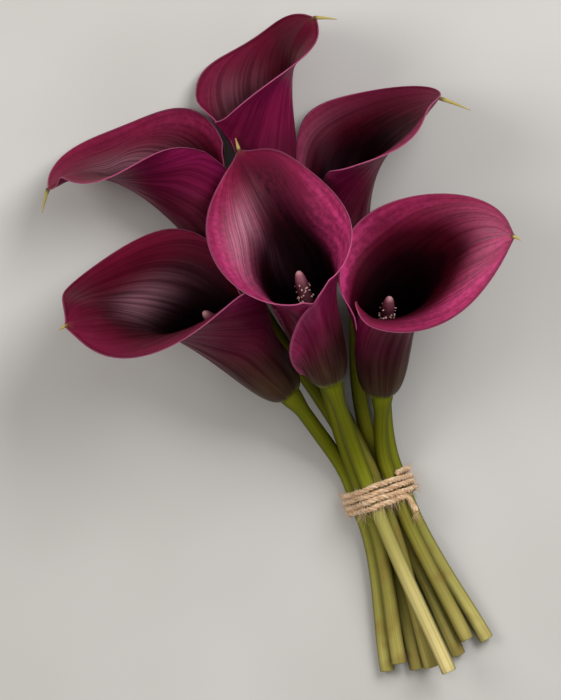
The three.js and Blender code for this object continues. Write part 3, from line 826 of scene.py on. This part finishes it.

# %% [markdown]
# ## The skin of a stem
# Calla stems are smooth, fleshy rods: fresh green near the bloom, and paler and yellower towards the cut,
# much paler on some. Older ones are browner, with brown patches low down. Fine lines run along them, and
# the pale ones are kept to the upper side as a painted highlight. The flanks and the underside carry painted
# shade, darker as on a packed bunch, where little light reaches between the stems.
# The cut end shows pale wet flesh. The gloss is faint, because any more leaves grey lines on the flanks.

# %% Stem material
PALE_SHARES = ((0.0, 1.0), (0.2, 0.7), (0.5, 0.3), (0.62, 0.0))


def build_stem_material():
    material, tree, skin = new_material("stem skin")
    around, along, tone, cut = stored(tree, "around", "along", "tone", "cut")
    seed, pallor, painted_shade = stored(tree, "seed", "pallor", "painted_shade")
    streaks = place_group(tree, STREAKS, Across=around, Along=along, Seed=seed, Bands=5.0, Hairs=26.0)
    blotches = place_group(tree, BLOTCHES, Scale=70.0)
    fine = streaks.outputs["Fine"]
    fresh = ramp(tree, along, [
        (0.0, srgb(176, 174, 82)),
        (0.22, srgb(142, 144, 44)),
        (0.55, srgb(124, 130, 24)),
        (1.0, srgb(122, 128, 16)),
    ])
    aged = ramp(tree, along, [
        (0.0, srgb(148, 132, 62)),
        (0.25, srgb(120, 108, 38)),
        (0.6, srgb(110, 110, 22)),
        (1.0, srgb(112, 118, 16)),
    ])
    body = mix_colour(tree, tone, fresh, aged)
    paler = ramp(tree, along, [(place, (share,) * 3) for place, share in PALE_SHARES])
    body = mix_colour(tree, times(tree, paler, pallor), body, srgb(232, 214, 150))
    bands = map_range(tree, streaks.outputs["Broad"], 0.4, 0.65, 0.0, 0.6)
    body = darken(tree, bands, body, (0.6, 0.6, 0.36))
    # painted shade: the flanks and underside are darkened by how far each point faces away from straight up
    body = darken(tree, map_range(tree, painted_shade, 0.1, 1.0, 0.0, 0.9), body, (0.26, 0.27, 0.14))
    # painted highlight: the pale hairlines show only on the side that faces up
    hairs = times(tree, map_range(tree, fine, 0.5, 0.75, 0.0, 0.25), map_range(tree, painted_shade, 0.5, 0.1))
    body = mix_colour(tree, hairs, body, srgb(176, 174, 70))
    older = mix_value(tree, pallor, map_range(tree, along, 0.6, 0.3, 0.15, 1.0), 0.1)
    brown = times(tree, map_range(tree, blotches.outputs["Blotch"], 0.48, 0.68, 0.0, 0.6), older)
    body = mix_colour(tree, brown, body, srgb(130, 100, 46))
    body = mix_colour(tree, map_range(tree, cut, 0.5, 1.0), body, srgb(214, 206, 150))
    fill(tree, skin, {
        "Base Color": body,
        "Roughness": map_range(tree, fine, 0.3, 0.7, 0.5, 0.66),
        "Specular IOR Level": 0.1,
        "Specular Tint": (1.0, 1.0, 0.7),
    })
    grain = times(tree, blotches.outputs["Grain"], 0.3)
    add_bump(tree, skin, math_node(tree, "ADD", fine, grain), 0.3)
    return material


STEM_SKIN = build_stem_material()

# %% [markdown]
# ## Spadix, pollen and jute
# The spadix is packed with tiny flowers: almost black low down, partly its own colour and partly painted
# shade deep in the throat, and dusty pink at its tip, partly its own colour and partly a painted highlight
# on the rounded tip. The valleys between the flowers are darker with painted shade. Pollen crumbs are a pale
# dusty pink. Jute is a warm straw colour with browner and paler fibres, and has hardly any gloss, only the
# sheen of its hairs.

# %% Materials of the small parts
def build_spadix_material():
    material, tree, skin = new_material("spadix")
    along, bead = stored(tree, "along", "bead")
    # near black low down is partly painted shade in the throat, and the pale pink tip is partly a painted
    # highlight
    body = ramp(tree, along, [
        (0.0, srgb(20, 2, 8)),
        (0.6, srgb(44, 8, 20)),
        (0.84, srgb(84, 26, 44)),
        (0.95, srgb(128, 64, 82)),
        (1.0, srgb(190, 134, 142)),
    ])
    # painted shade: the valleys between the tiny flowers are darkened
    painted_valley_shade = darken(tree, 1.0, body, (0.42, 0.3, 0.36))
    body = mix_colour(tree, map_range(tree, bead, 0.0, 0.7), painted_valley_shade, body)
    fill(tree, skin, {"Base Color": body, "Roughness": 0.55})
    add_bump(tree, skin, place_group(tree, BLOTCHES, Scale=400.0).outputs["Grain"], 0.3)
    return material


def build_pollen_material():
    material, tree, skin = new_material("pollen")
    blotch = place_group(tree, BLOTCHES, Scale=900.0).outputs["Blotch"]
    body = mix_colour(tree, map_range(tree, blotch, 0.35, 0.65), srgb(190, 136, 140), srgb(224, 196, 184))
    fill(tree, skin, {"Base Color": body, "Roughness": 0.7})
    return material


def build_jute_material():
    material, tree, skin = new_material("jute")
    around, along, seed = stored(tree, "around", "along", "seed")
    streaks = place_group(tree, STREAKS, Across=around, Along=along, Seed=seed, Bands=4.0, Hairs=14.0)
    body = ramp(tree, streaks.outputs["Broad"], [
        (0.35, srgb(214, 166, 120)),
        (0.5, srgb(244, 208, 166)),
        (0.65, srgb(255, 240, 212)),
    ])
    brown = map_range(tree, streaks.outputs["Fine"], 0.46, 0.62, 0.0, 0.6)
    body = mix_colour(tree, brown, body, srgb(150, 104, 64))
    fill(tree, skin, {"Base Color": body, "Roughness": 0.85, "Sheen Weight": 0.3})
    add_bump(tree, skin, streaks.outputs["Fine"], 0.6, 1.5 * FINE_RELIEF)
    return material


SPADIX_SKIN = build_spadix_material()
POLLEN = build_pollen_material()
JUTE = build_jute_material()
print("materials:", SPATHE_SKIN.name, STEM_SKIN.name, SPADIX_SKIN.name, POLLEN.name, JUTE.name)

# %% [markdown]
# ## The pattern of each bloom
# No two blooms are marked alike, so each open one has its own values, and the young ones are plain. The
# strengths of the painted glow, which stands for light shining through the rim, and of the satin are given
# at
# PATTERN_ANGLES, which go round the mouth from one margin over the tip to the other, and start is where the
# glow begins, as a share of the way to the rim. The painted highlight is an angle, a place along and a
# strength, and the darker band an angle and a strength. lightness scales the inside and the outside.
# Painting these on the mesh by hand would do as well, but values are easier to correct.

# %% Patterns
PATTERN_ANGLES = (-2.4, -1.7, -0.9, 0.0, 0.9, 1.7, 2.4)
PLAIN = dict(painted_glow=(0,) * 7, start=0.8, satin=(0.3,) * 7, painted_highlight=(0, 0.8, 0), dark_band=(0, 0), lightness=(1, 1))
PATTERNS = {
    "front": dict(
        painted_glow=(0.8, 0.75, 0.35, 0.08, 0.25, 0.8, 1.3), start=0.62,
        satin=(0.4, 0.4, 0.4, 0.15, 0.05, 0.15, 0.2),
        painted_highlight=(-1.1, 0.81, 0.5), dark_band=(0.4, 0.9), lightness=(1, 1.15),
    ),
    "right": dict(
        painted_glow=(1.2, 0.4, 0.25, 0.55, 0.65, 0.3, 0.2), start=0.76,
        satin=(0, 0, 0.1, 0.25, 0.25, 0.2, 0.1),
        painted_highlight=(0, 0.92, 0.2), dark_band=(1.9, 0.4), lightness=(1.05, 1.05),
    ),
    "left": dict(
        painted_glow=(0, 0, 0, 0.05, 0.1, 0.1, 0), satin=(0, 0.1, 0.25, 0.2, 0.2, 0.2, 0.2),
        painted_highlight=(-1.0, 0.72, 0.25), lightness=(0.72, 1.1),
    ),
    "far_left": dict(
        painted_glow=(0.3, 0.15, 0.1, 0.05, 0.05, 0.05, 0), satin=(0, 0, 0.05, 0.05, 0, 0, 0),
        painted_highlight=(-1.0, 0.79, 0.2), lightness=(0.85, 1.15),
    ),
    "top": dict(
        painted_glow=(0.1, 0.05, 0, 0, 0, 0.05, 0.1), satin=(0, 0, 0, 0.1, 0.1, 0.1, 0.1),
        painted_highlight=(-2.0, 0.84, 0.1), dark_band=(-0.6, 0.4), lightness=(0.85, 1.3),
    ),
    "far_right": dict(
        painted_glow=(0.45, 0.2, 0.1, 0.2, 0.3, 0.2, 0.1), satin=(0, 0, 0, 0.05, 0.05, 0.1, 0.1),
        painted_highlight=(-2.3, 0.9, 0.1), dark_band=(-1.0, 0.5), lightness=(0.8, 0.9),
    ),
}
for name, lily in LILIES.items():
    lily["pattern"] = {**PLAIN, **PATTERNS.get(name, {})}
print("blooms with a pattern of their own:", len(PATTERNS))


def hump(values, middle, width):
    return np.exp(-((values - middle) / width) ** 2)


def petal_patterns(given, angle, along):
    # the glow strength stands for light shining through the rim, painted into the colour
    painted_glow, satin = (np.interp(angle, PATTERN_ANGLES, given[key]) for key in ("painted_glow", "satin"))
    # the painted highlight: its angle, its place along the leaf and its strength
    painted_highlight_angle, painted_highlight_along, painted_highlight = given["painted_highlight"]
    # the darker band: its angle round the mouth and its strength
    dark_band_angle, dark_band = given["dark_band"]
    dark_band_here = dark_band * hump(angle, dark_band_angle, 0.5)
    shine = ease(0.62, 0.84, along) * (1 - 0.6 * ease(0.88, 1.0, along)) * (1 - 0.8 * dark_band_here)
    return {
        "painted_glow": painted_glow * ease(given["start"], given["start"] + 0.2, along),
        "painted_highlight": painted_highlight * hump(angle, painted_highlight_angle, 0.8) * hump(along, painted_highlight_along, 0.08),
        "dark_band": dark_band_here * (1 - 0.7 * ease(0.86, 1.0, along)),
        "satin": satin * shine,
    }


# %% [markdown]
# ## The drawn-out tip
# The green tail of a spathe is a thin tapering tube. It starts inside the end of the leaf, where it
# can't be seen, so the two need no joining.

# %% Tail of a spathe
TAIL_SIDES = 10
TAIL_RINGS = 16
TAIL_RADIUS = 0.95


def tail_tube(lily, line):
    m = len(line) - 1
    back = max(int(m * 0.03), 1)
    root, rim = line[m - back], line[m]
    inside = rim - root
    end = rim + np.array(lily["tail"], dtype=float)
    path = smooth_path(root, inside * 2.2, end, (end - rim) * 1.1, TAIL_RINGS)
    t = np.linspace(0, 1, TAIL_RINGS + 1)
    radii = TAIL_RADIUS * ease(-0.1, 0.25, t) * (1 - 0.72 * ease(0.2, 1, t))
    radii[-1] *= 0.5
    return sweep(path, radii, TAIL_SIDES, (0, 0, 1)) + (t,)


# %% [markdown]
# ## Building the spathes
# A spathe could be sculpted, or a flat leaf could be rolled with modifiers. Working it out as a surface
# keeps its rim exactly where the solid's rim is, and gives every point its vein and edge values. The
# blooms that rest on the table are first lowered or raised until they just touch it.

# %% Spathes
OPEN_GRID = (64, 56)
YOUNG_GRID = (34, 30)


def seat_on_table(lily, columns, rows):
    points = spathe_grid(lily, columns, rows)[0]
    low = points[..., 2].min() - FLESH_THICKNESS / 2
    x, y, z = lily["base"]
    lily["base"] = (x, y, z - low)


def build_spathe(lily, seed):
    columns, rows = YOUNG_GRID if lily["young"] else OPEN_GRID
    if lily["rests"]:
        seat_on_table(lily, columns, rows)
    points, on_leaf = spathe_grid(lily, columns, rows)
    edge = distance_to_edge(points)
    corners, faces, loop = thick_sheet(points, edge, on_leaf["height"])
    at_edge = [i * points.shape[1] + j for i, j in loop]
    patterns = petal_patterns(lily["pattern"], on_leaf["angle"], on_leaf["along"])

    tail_points, tail_faces, t = tail_tube(lily, points[columns])
    count = len(tail_points)

    def stored_on(grid, on_tail, on_rim=None):
        flat = grid.reshape(-1)
        rim = flat[at_edge] if on_rim is None else np.full(len(loop), on_rim)
        return np.concatenate([flat, flat, rim, np.broadcast_to(on_tail, count)])

    size = points.shape[0] * points.shape[1]
    inner = np.concatenate([np.zeros(size), np.ones(size), np.full(len(loop), 0.5)])
    within, outside = lily["pattern"]["lightness"]
    tail_end = np.repeat(np.clip(0.35 + 0.65 * ease(0.0, 0.45, t), 0, 1), TAIL_SIDES)
    near_tip = np.linalg.norm(points - points[columns, -1], axis=-1)
    greening = lily["greening"] * (1 - ease(0.5, 5, near_tip))
    values = {
        "lightness": np.concatenate([np.where(inner > 0.25, within, outside), np.ones(count)]),
        "vein": stored_on(on_leaf["vein"], 0),
        "along": stored_on(on_leaf["along"], 1),
        "edge": stored_on(edge, 9, on_rim=0.0),
        **{key: stored_on(grid, 0) for key, grid in patterns.items()},
        "height": stored_on(on_leaf["height"], 99),
        "inner": np.concatenate([inner, np.zeros(count)]),
        "tail": stored_on(greening, tail_end),
        "seed": np.full(len(corners) + count, float(seed)),
    }
    name = lily["name"]
    return make_piece(
        f"{name}_spathe", np.concatenate([corners, tail_points]),
        faces + moved_on(tail_faces, len(corners)), SPATHE_SKIN,
        node=f"spathe_{name}", values=values,
    )


for number, (name, lily) in enumerate(LILIES.items()):
    piece = build_spathe(lily, seed=3.7 * number)
    print(piece.name, "faces:", len(piece.data.polygons), end=", ")
    print("furthest from its solid's box, mm:", off_from_solid(piece, f"spathe_{name}"))

# %% [markdown]
# ## Building the spadices
# The tiny flowers of a spadix sit in crossing spirals, each turned by the golden angle from the last.
# Every point of the spike looks up its nearest flower centre and is raised into a small bead round it.
# Copies of a bead set on a plain spike would look much the same, but they would be hundreds of pieces
# that cut through each other, and this is one closed skin.

# %% Spadices
GOLDEN_ANGLE = math.pi * (3 - math.sqrt(5))
SPADIX_FOOT = 2.85
BEAD_SPACING = 1.05
BEAD_HEIGHT = 0.28
SPADIX_SIDES = 40
SPADIX_RINGS = 110


def spadix_radius(lily, t):
    return lily["spadix_radius"] * np.sqrt(np.clip(1 - t**12, 0, 1)) * (0.82 + 0.18 * ease(0, 0.3, t))


def build_spadix(lily):
    sides, rings = SPADIX_SIDES, SPADIX_RINGS
    length = lily["spadix_length"] - SPADIX_FOOT
    t = 1 - (1 - np.linspace(0, 1, rings + 1)) ** 1.3
    turns = np.arange(sides) * 2 * math.pi / sides
    radius = spadix_radius(lily, t)
    count = int(2 * math.pi * lily["spadix_radius"] * length / BEAD_SPACING**2)
    tree = KDTree(count)
    for k in range(count):
        at = (k + 0.5) / count
        r = float(spadix_radius(lily, np.array(at)))
        turn = k * GOLDEN_ANGLE
        tree.insert((r * math.cos(turn), r * math.sin(turn), at * length), k)
    tree.balance()
    bead = np.zeros((rings + 1, sides))
    for i in range(rings + 1):
        for s in range(sides):
            place = (radius[i] * math.cos(turns[s]), radius[i] * math.sin(turns[s]), t[i] * length)
            bead[i, s] = max(0.0, 1 - (tree.find(place)[2] / (0.62 * BEAD_SPACING)) ** 2)
    raised = radius[:, None] - BEAD_HEIGHT / 2 + BEAD_HEIGHT * bead
    raised = np.maximum(raised, 0.05)
    height = (SPADIX_FOOT + t * length)[:, None]
    points = bloom_point(lily, height, raised * np.cos(turns), raised * np.sin(turns))
    points = points.reshape(-1, 3)
    faces = []
    for k in range(rings):
        faces += turned_over(ring_faces(k * sides, (k + 1) * sides, sides))
    faces.append(tuple(range(sides)))
    last = rings * sides
    faces.append(tuple(range(last, last + sides))[::-1])
    values = {"along": np.repeat(t, sides), "bead": bead.reshape(-1)}
    name = lily["name"]
    return make_piece(
        f"{name}_spadix", points, faces, SPADIX_SKIN,
        node=f"spadix_{name}", values=values,
    )


for lily in LILIES.values():
    piece = build_spadix(lily)
    print(piece.name, "points:", len(piece.data.vertices))

# %% [markdown]
# ## Pollen on the spadix
# Crumbs of pollen cling to the spadix below its tip, in the blooms that face the viewer. They are tiny
# uneven beads, scattered by a seeded random generator, so they fall the same way each time.

# %% Pollen crumbs
POLLEN_SIZES = (0.22, 0.5)
POLLEN_BAND = (6, 14)
CRUMB_RINGS = 5
CRUMB_SIDES = 7


def bead_mesh(centre, size, random):
    points, faces = [], []
    rings, sides = CRUMB_RINGS, CRUMB_SIDES
    stretch = 1 + random.uniform(-0.25, 0.35, 3)
    for i in range(1, rings):
        polar = math.pi * i / rings
        for s in range(sides):
            turn = 2 * math.pi * s / sides
            offset = np.array([
                math.sin(polar) * math.cos(turn), math.sin(polar) * math.sin(turn), math.cos(polar),
            ])
            points.append(centre + offset * size * stretch)
    for i in range(rings - 2):
        faces += turned_over(ring_faces(i * sides, (i + 1) * sides, sides))
    faces.append(tuple(range(sides)))
    last = (rings - 2) * sides
    faces.append(tuple(range(last, last + sides))[::-1])
    return points, faces


def build_pollen(lily, seed):
    random = np.random.default_rng(seed)
    reach = lily["spadix_length"]
    points, faces = [], []
    for _ in range(lily["pollen"]):
        height = reach - random.uniform(*POLLEN_BAND)
        turn = random.uniform(0, 2 * math.pi)
        off = lily["spadix_radius"] + random.uniform(0.0, 0.5)
        centre = bloom_point(lily, height, off * math.cos(turn), off * math.sin(turn))
        size = random.uniform(*POLLEN_SIZES)
        more, more_faces = bead_mesh(centre, size, random)
        faces += moved_on(more_faces, len(points))
        points += more
    return make_piece(f"{lily['name']}_pollen", points, faces, POLLEN)


for number, lily in enumerate(LILIES.values()):
    if lily["pollen"]:
        piece = build_pollen(lily, seed=20 + number)
        print(piece.name, "crumbs:", lily["pollen"])

# %% [markdown]
# ## Building the stems
# A stem runs from its cut end straight through the tie and curves to the foot of its bloom. It swells
# just below the bloom, where it grows into the spathe, and ends a little way inside it, so that the two
# meet without a step. The cut is slightly hollow, with a rounded edge. Each point stores how far it
# faces away from straight up, for the painted shade on the flanks and underside.

# %% Stems
STEM_SIDES = 28
SWELL_RADIUS = 5.1
SWELL_LENGTH = 14
SWELL_END = 2.6
CUT_EDGE = 0.35
CUT_RINGS = ((0.8, 0.12), (0.4, 0.3))
PATH_STEPS = (40, 60)


def stem_path(lily, lower_count, upper_count):
    along = bloom_axes(lily)[0]
    column, row = lily["tie"]
    x = TIE_CENTRE_X + column * STEM_PITCH
    onward = np.array([0, 1.0, 0])
    cut = np.array(lily["cut"], dtype=float)
    low = np.array([x, -TIE_HALF_LENGTH, row])
    high = np.array([x, TIE_HALF_LENGTH, row])
    foot = np.array(lily["base"], dtype=float)
    below = np.linalg.norm(low - cut)
    above = np.linalg.norm(foot - high)
    lower = smooth_path(cut, low - cut, low, onward * 0.9 * below, lower_count)
    upper = smooth_path(high, onward * 0.9 * above, foot, along * 0.8 * above, upper_count)
    swing = np.sin(np.linspace(0, math.pi, upper_count + 1)) ** 2
    upper = upper + swing[:, None] * np.array([lily["bow"][0], 0, lily["bow"][1]])
    return np.concatenate([lower, upper, [foot + along * SWELL_END / 2, foot + along * SWELL_END]])


def build_stem(lily, seed):
    path = stem_path(lily, *PATH_STEPS)
    gone = length_so_far(path)
    left = gone[-1] - SWELL_END - gone
    wobble = 0.06 * np.sin(gone / 17 + seed) + 0.04 * np.sin(gone / 7 + 2 * seed)
    radii = STEM_RADIUS + wobble - 0.06
    radii = radii + (SWELL_RADIUS - STEM_RADIUS) * (1 - ease(0, SWELL_LENGTH, left)) ** 1.4
    radii[-2:] = (SWELL_RADIUS - 0.25, SWELL_RADIUS - 1.2)
    radii[0] -= CUT_EDGE
    radii[1] = radii[0] + 0.3
    path[1] = path[0] + (path[2] - path[0]) * 0.12
    points, faces = sweep(path, radii, STEM_SIDES, (0, 0, 1))
    faces = faces[:-2] + [faces[-1]]
    direction = unit(path[2] - path[0])
    rings = [0, len(points), len(points) + STEM_SIDES]
    first_ring = points[:STEM_SIDES] - path[0]
    caps = [path[0] + first_ring * scale + direction * depth for scale, depth in CUT_RINGS]
    points = np.concatenate([points] + caps)
    for first, second in zip(rings, rings[1:]):
        for s in range(STEM_SIDES):
            after = (s + 1) % STEM_SIDES
            faces.append((first + after, first + s, second + s, second + after))
    faces.append(tuple(range(rings[-1], rings[-1] + STEM_SIDES))[::-1])
    rounds = np.arange(STEM_SIDES) * 2 * math.pi / STEM_SIDES
    turn = np.abs((rounds / math.pi) - 1) * 2
    middle = np.repeat(path, STEM_SIDES, axis=0)
    facing = unit(points[:len(middle)] - middle)[:, 2]
    on_cut = np.zeros(len(CUT_RINGS) * STEM_SIDES)
    values = {
        "around": np.tile(turn, len(path) + len(CUT_RINGS)),
        "along": np.concatenate([np.repeat(gone / gone[-1], STEM_SIDES), on_cut]),
        "painted_shade": np.concatenate([np.clip(1 - facing, 0, 1.2), on_cut]),
        "cut": np.concatenate([np.zeros(len(middle)), on_cut + 1]),
        **{key: np.full(len(points), lily[key]) for key in ("tone", "pallor")},
        "seed": np.full(len(points), seed),
    }
    name = lily["name"]
    return make_piece(
        f"{name}_stem", points, faces, STEM_SKIN, node=f"stem_{name}", values=values,
    )


for number, (name, lily) in enumerate(LILIES.items()):
    piece = build_stem(lily, seed=1.3 + 2.1 * number)
    print(piece.name, "furthest from its solid's box, mm:", off_from_solid(piece, f"stem_{name}"))

# %% [markdown]
# ## Building the twine
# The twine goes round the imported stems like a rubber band: it touches the outermost stems and runs
# straight between them. Its middle line is found by asking, for each direction, which stem lies furthest
# out. Real jute string is three plies twisted together, so three thin tubes wind round that line.

# %% Middle line of the twine
PER_TURN = 150


def twine_ring(count):
    ties = [lily["tie"] for lily in LILIES.values()]
    centres = np.array([(TIE_CENTRE_X + column * STEM_PITCH, row) for column, row in ties])
    reach = STEM_RADIUS + SEAT_GAP + TWINE_RADIUS
    turns = np.radians(TWINE_START + np.arange(0, 360.5, 0.5))
    out = np.stack([np.cos(turns), np.sin(turns)], axis=1)
    best = centres[np.argmax(centres @ out.T, axis=0)]
    dense = best + reach * out
    gone = length_so_far(dense)
    places = np.linspace(0, gone[-1], count + 1)
    return np.stack([np.interp(places, gone, dense[:, axis]) for axis in (0, 1)], axis=1), gone[-1]


ring, ring_length = twine_ring(PER_TURN)
print("one turn of twine, mm:", round(ring_length, 1))


def twine_path():
    steps = np.arange(TWINE_TURNS * PER_TURN + 1)
    here = ring[steps % PER_TURN]
    y = (steps / PER_TURN - TWINE_TURNS / 2) * TWINE_PITCH
    y = y + 0.38 * np.sin(steps / 23.0) + 0.2 * np.sin(steps / 9.1 + 1)
    turns = np.stack([here[:, 0], y, here[:, 1]], axis=1)
    start = turns[0] + np.array(LOOSE_END)
    onward = unit(turns[1] - turns[0]) * 7
    loose = smooth_path(start, (0, 7, 0), turns[0], onward, 18)[:-1]
    return np.concatenate([loose, turns])


TWINE_LINE = twine_path()
print("whole twine, mm:", round(length_so_far(TWINE_LINE)[-1]))

# %% [markdown]
# ## Plies
# Each ply is a tube on a helix round the middle line, a little thicker and thinner along its length, as
# hand-spun jute is. Its own fibres are drawn by the material.

# %% Twist the plies
PLIES = 3
PLY_RADIUS = 0.66
PLY_OFFSET = 0.68
TWIST_LENGTH = 7.5
PLY_SIDES = 9


def build_twine():
    frames = carried_frames(TWINE_LINE, np.array([0.3, 0, 1.0]))
    gone = length_so_far(TWINE_LINE)
    points, faces, around, along, seeds = [], [], [], [], []
    for ply in range(PLIES):
        turn = 2 * math.pi * (gone / TWIST_LENGTH + ply / PLIES)
        offset = np.cos(turn)[:, None] * frames[:, 0] + np.sin(turn)[:, None] * frames[:, 1]
        path = TWINE_LINE + PLY_OFFSET * offset
        radii = PLY_RADIUS * (1 + 0.18 * np.sin(gone / 3.7 + 2 * ply) + 0.1 * np.sin(gone / 1.3 + ply))
        more, more_faces = sweep(path, radii, PLY_SIDES, (0.3, 0, 1))
        faces += moved_on(more_faces, len(points))
        points += more.tolist()
        rounds = np.abs(np.arange(PLY_SIDES) / PLY_SIDES - 0.5) * 2
        slant = np.repeat(gone / 9, PLY_SIDES)
        around += (np.tile(rounds, len(path)) + slant).tolist()
        along += np.repeat(gone / 6, PLY_SIDES).tolist()
        seeds += [float(ply * 5)] * len(more)
    values = {"around": around, "along": along, "seed": seeds}
    return make_piece("twine_string", points, faces, JUTE, node="twine", values=values)


print(build_twine().name, "twist length, mm:", TWIST_LENGTH)

# %% [markdown]
# ## Loose fibres
# Single fibres stand off the string everywhere, hang below the lowest turn and fan out at the cut end.
# They are hair-thin tapering tubes with a random bend, and they are what makes jute look like jute.
# Blender's hair could grow them, but plain tubes keep their look in an exported model.

# %% Loose fibres
FIBRES_ON_TURNS = 620
FIBRES_BELOW = 70
FIBRES_AT_END = 26
FIBRE_SIDES = 3


def fibre(start, direction, length, random, thickness):
    side = unit(np.cross(direction, random.normal(size=3)))
    bend = random.uniform(-0.8, 0.8)
    t = np.linspace(0, 1, 7)[:, None]
    path = start + length * (t * direction + bend * t**2 * side)
    path[:, 2] = np.maximum(path[:, 2], 0.15)
    radii = thickness * (1 - 0.75 * t[:, 0])
    return sweep(path, radii, FIBRE_SIDES, (0.2, 0.1, 1))


def build_fibres():
    random = np.random.default_rng(7)
    points, faces = [], []
    outward = TWINE_LINE - np.array([TIE_CENTRE_X, 0, SECOND_ROW])
    outward[:, 1] = 0
    outward = unit(outward)

    def add(start, direction, length, thickness):
        more, more_faces = fibre(start, direction, length, random, thickness)
        faces.extend(moved_on(more_faces, len(points)))
        points.extend(more.tolist())

    for _ in range(FIBRES_ON_TURNS):
        k = random.integers(12, len(TWINE_LINE) - 2)
        lie = unit(TWINE_LINE[k + 1] - TWINE_LINE[k - 1]) * random.choice((-1, 1))
        spread = np.array([0, random.normal() * 0.8, 0])
        direction = unit(lie * random.uniform(0.3, 1.1) + spread + outward[k] * random.uniform(0.1, 0.6))
        start = TWINE_LINE[k] + outward[k] * 0.9
        add(start, direction, random.uniform(1.5, 6), random.uniform(0.05, 0.12))
    lowest = np.flatnonzero((TWINE_LINE[:, 1] < TWINE_LINE[18:, 1].min() + 4) & (outward[:, 2] > 0.2))
    for _ in range(FIBRES_BELOW):
        k = random.choice(lowest)
        spread = np.array([random.normal() * 0.5, -1, random.uniform(-0.2, 0.3)])
        add(TWINE_LINE[k] + outward[k] * 0.8, unit(spread), random.uniform(3, 9), random.uniform(0.08, 0.15))
    end = TWINE_LINE[0]
    heading = unit(TWINE_LINE[0] - TWINE_LINE[4])
    for _ in range(FIBRES_AT_END):
        direction = unit(heading + random.normal(size=3) * 0.45)
        start = end + random.normal(size=3) * 0.4
        add(start, direction, random.uniform(2.5, 6.5), random.uniform(0.06, 0.11))
    count = len(points)
    values = {"around": np.zeros(count), "along": np.arange(count) / 40.0, "seed": np.ones(count)}
    return make_piece("twine_fibres", points, faces, JUTE, values=values)


print(build_fibres().name, "fibres:", FIBRES_ON_TURNS + FIBRES_BELOW + FIBRES_AT_END)

# %% [markdown]
# ## Table
# The bunch lies on a smooth pale grey table top with very faint cloudy marks. It belongs to the scene
# and not to the part.

# %% Table
TABLE_HALF = 14.0


def build_table():
    material, tree, skin = new_material("table top")
    blotch = place_group(tree, BLOTCHES, Scale=7.0).outputs["Blotch"]
    body = mix_colour(tree, map_range(tree, blotch, 0.3, 0.7), srgb(196, 194, 191), srgb(205, 204, 202))
    fill(tree, skin, {"Base Color": body, "Roughness": 0.75, "Specular IOR Level": 0.2})
    corners = [(-TABLE_HALF, -TABLE_HALF), (TABLE_HALF, -TABLE_HALF), (TABLE_HALF, TABLE_HALF)]
    corners.append((-TABLE_HALF, TABLE_HALF))
    mesh = bpy.data.meshes.new("table_top")
    mesh.from_pydata([(x, y, 0) for x, y in corners], [], [(0, 1, 2, 3)])
    mesh.materials.append(material)
    table = bpy.data.objects.new("table_top", mesh)
    bpy.context.scene.collection.objects.link(table)


build_table()

# %% [markdown]
# ## Lights
# One large soft light high on the upper right makes the broad highlights and the soft shadows on the
# left, and a weaker, warmer one on the left opens those shadows. The places of both are given as seen in
# the picture, to the right, up and towards the viewer, because that is how light is judged.

# %% Lights
LEAN = math.radians(21)
PHOTO_RIGHT = Vector((math.cos(LEAN), -math.sin(LEAN), 0))
PHOTO_UP = Vector((math.sin(LEAN), math.cos(LEAN), 0))


def add_light(name, right, up, height, size, watts, colour):
    data = bpy.data.lights.new(name, "AREA")
    data.shape = "DISK"
    data.size = size
    data.energy = watts
    data.color = colour
    light = bpy.data.objects.new(name, data)
    light.location = PHOTO_RIGHT * right + PHOTO_UP * up + Vector((0, 0, height))
    light.rotation_euler = (Vector((0, 0, 0.04)) - light.location).to_track_quat("-Z", "Y").to_euler()
    light.visible_camera = False
    bpy.context.scene.collection.objects.link(light)


add_light("key", right=0.85, up=0.95, height=1.5, size=1.2, watts=25.5, colour=(1.0, 0.995, 0.985))
add_light("fill", right=-1.3, up=0.35, height=1.3, size=1.0, watts=12, colour=(1.0, 0.97, 0.93))

# %% [markdown]
# ## Surroundings
# The surroundings are dark at the horizon and pale overhead, like a room with a white ceiling. The
# flanks of the stems and the outsides of the blooms face the dark part, and so keep their deep colour.

# %% Surroundings
SKY_STRENGTH = 0.52
SKY_STOPS = [
    (0.42, (0.02, 0.02, 0.02)),
    (0.62, (0.16, 0.155, 0.14)),
    (0.8, (0.74, 0.715, 0.68)),
    (1.0, (1.0, 0.975, 0.94)),
]


def build_surroundings():
    world = bpy.data.worlds.new("soft surroundings")
    world.use_nodes = True
    tree = world.node_tree
    direction = node(tree, "ShaderNodeTexCoord").outputs["Generated"]
    upward = node(tree, "ShaderNodeSeparateXYZ")
    tree.links.new(direction, upward.inputs[0])
    level = math_node(tree, "MULTIPLY_ADD", upward.outputs["Z"], 0.5, 0.5)
    fill(tree, tree.nodes["Background"], {"Color": ramp(tree, level, SKY_STOPS), "Strength": SKY_STRENGTH})
    bpy.context.scene.world = world


build_surroundings()
bpy.context.scene.view_settings.view_transform = "Standard"

# %% [markdown]
# ## Camera
# The camera looks straight down from far above with a long lens, so that high blooms aren't enlarged,
# and is turned so that the bunch leans to the left as in the photograph.

# %% Camera
SENSOR = 36
CAMERA_HEIGHT = 5.0
FRAME_HEIGHT = 0.315
AIM_HEIGHT = 0.05
AIM = PHOTO_RIGHT * -0.0427 + PHOTO_UP * 0.0657

camera_data = bpy.data.cameras.new("camera")
camera_data.sensor_width = SENSOR
camera_data.lens = SENSOR * (CAMERA_HEIGHT - AIM_HEIGHT) / FRAME_HEIGHT
camera_data.clip_end = 100
camera = bpy.data.objects.new("camera", camera_data)
tie = Vector((TIE_PLACE * MM).tolist())
camera.location = tie + AIM + Vector((0, 0, CAMERA_HEIGHT))
camera.rotation_euler = Matrix.Rotation(-LEAN, 3, "Z").to_euler()
bpy.context.scene.collection.objects.link(camera)
bpy.context.scene.camera = camera
print("camera over, mm:", [round(v / MM, 1) for v in camera.location[:2]])
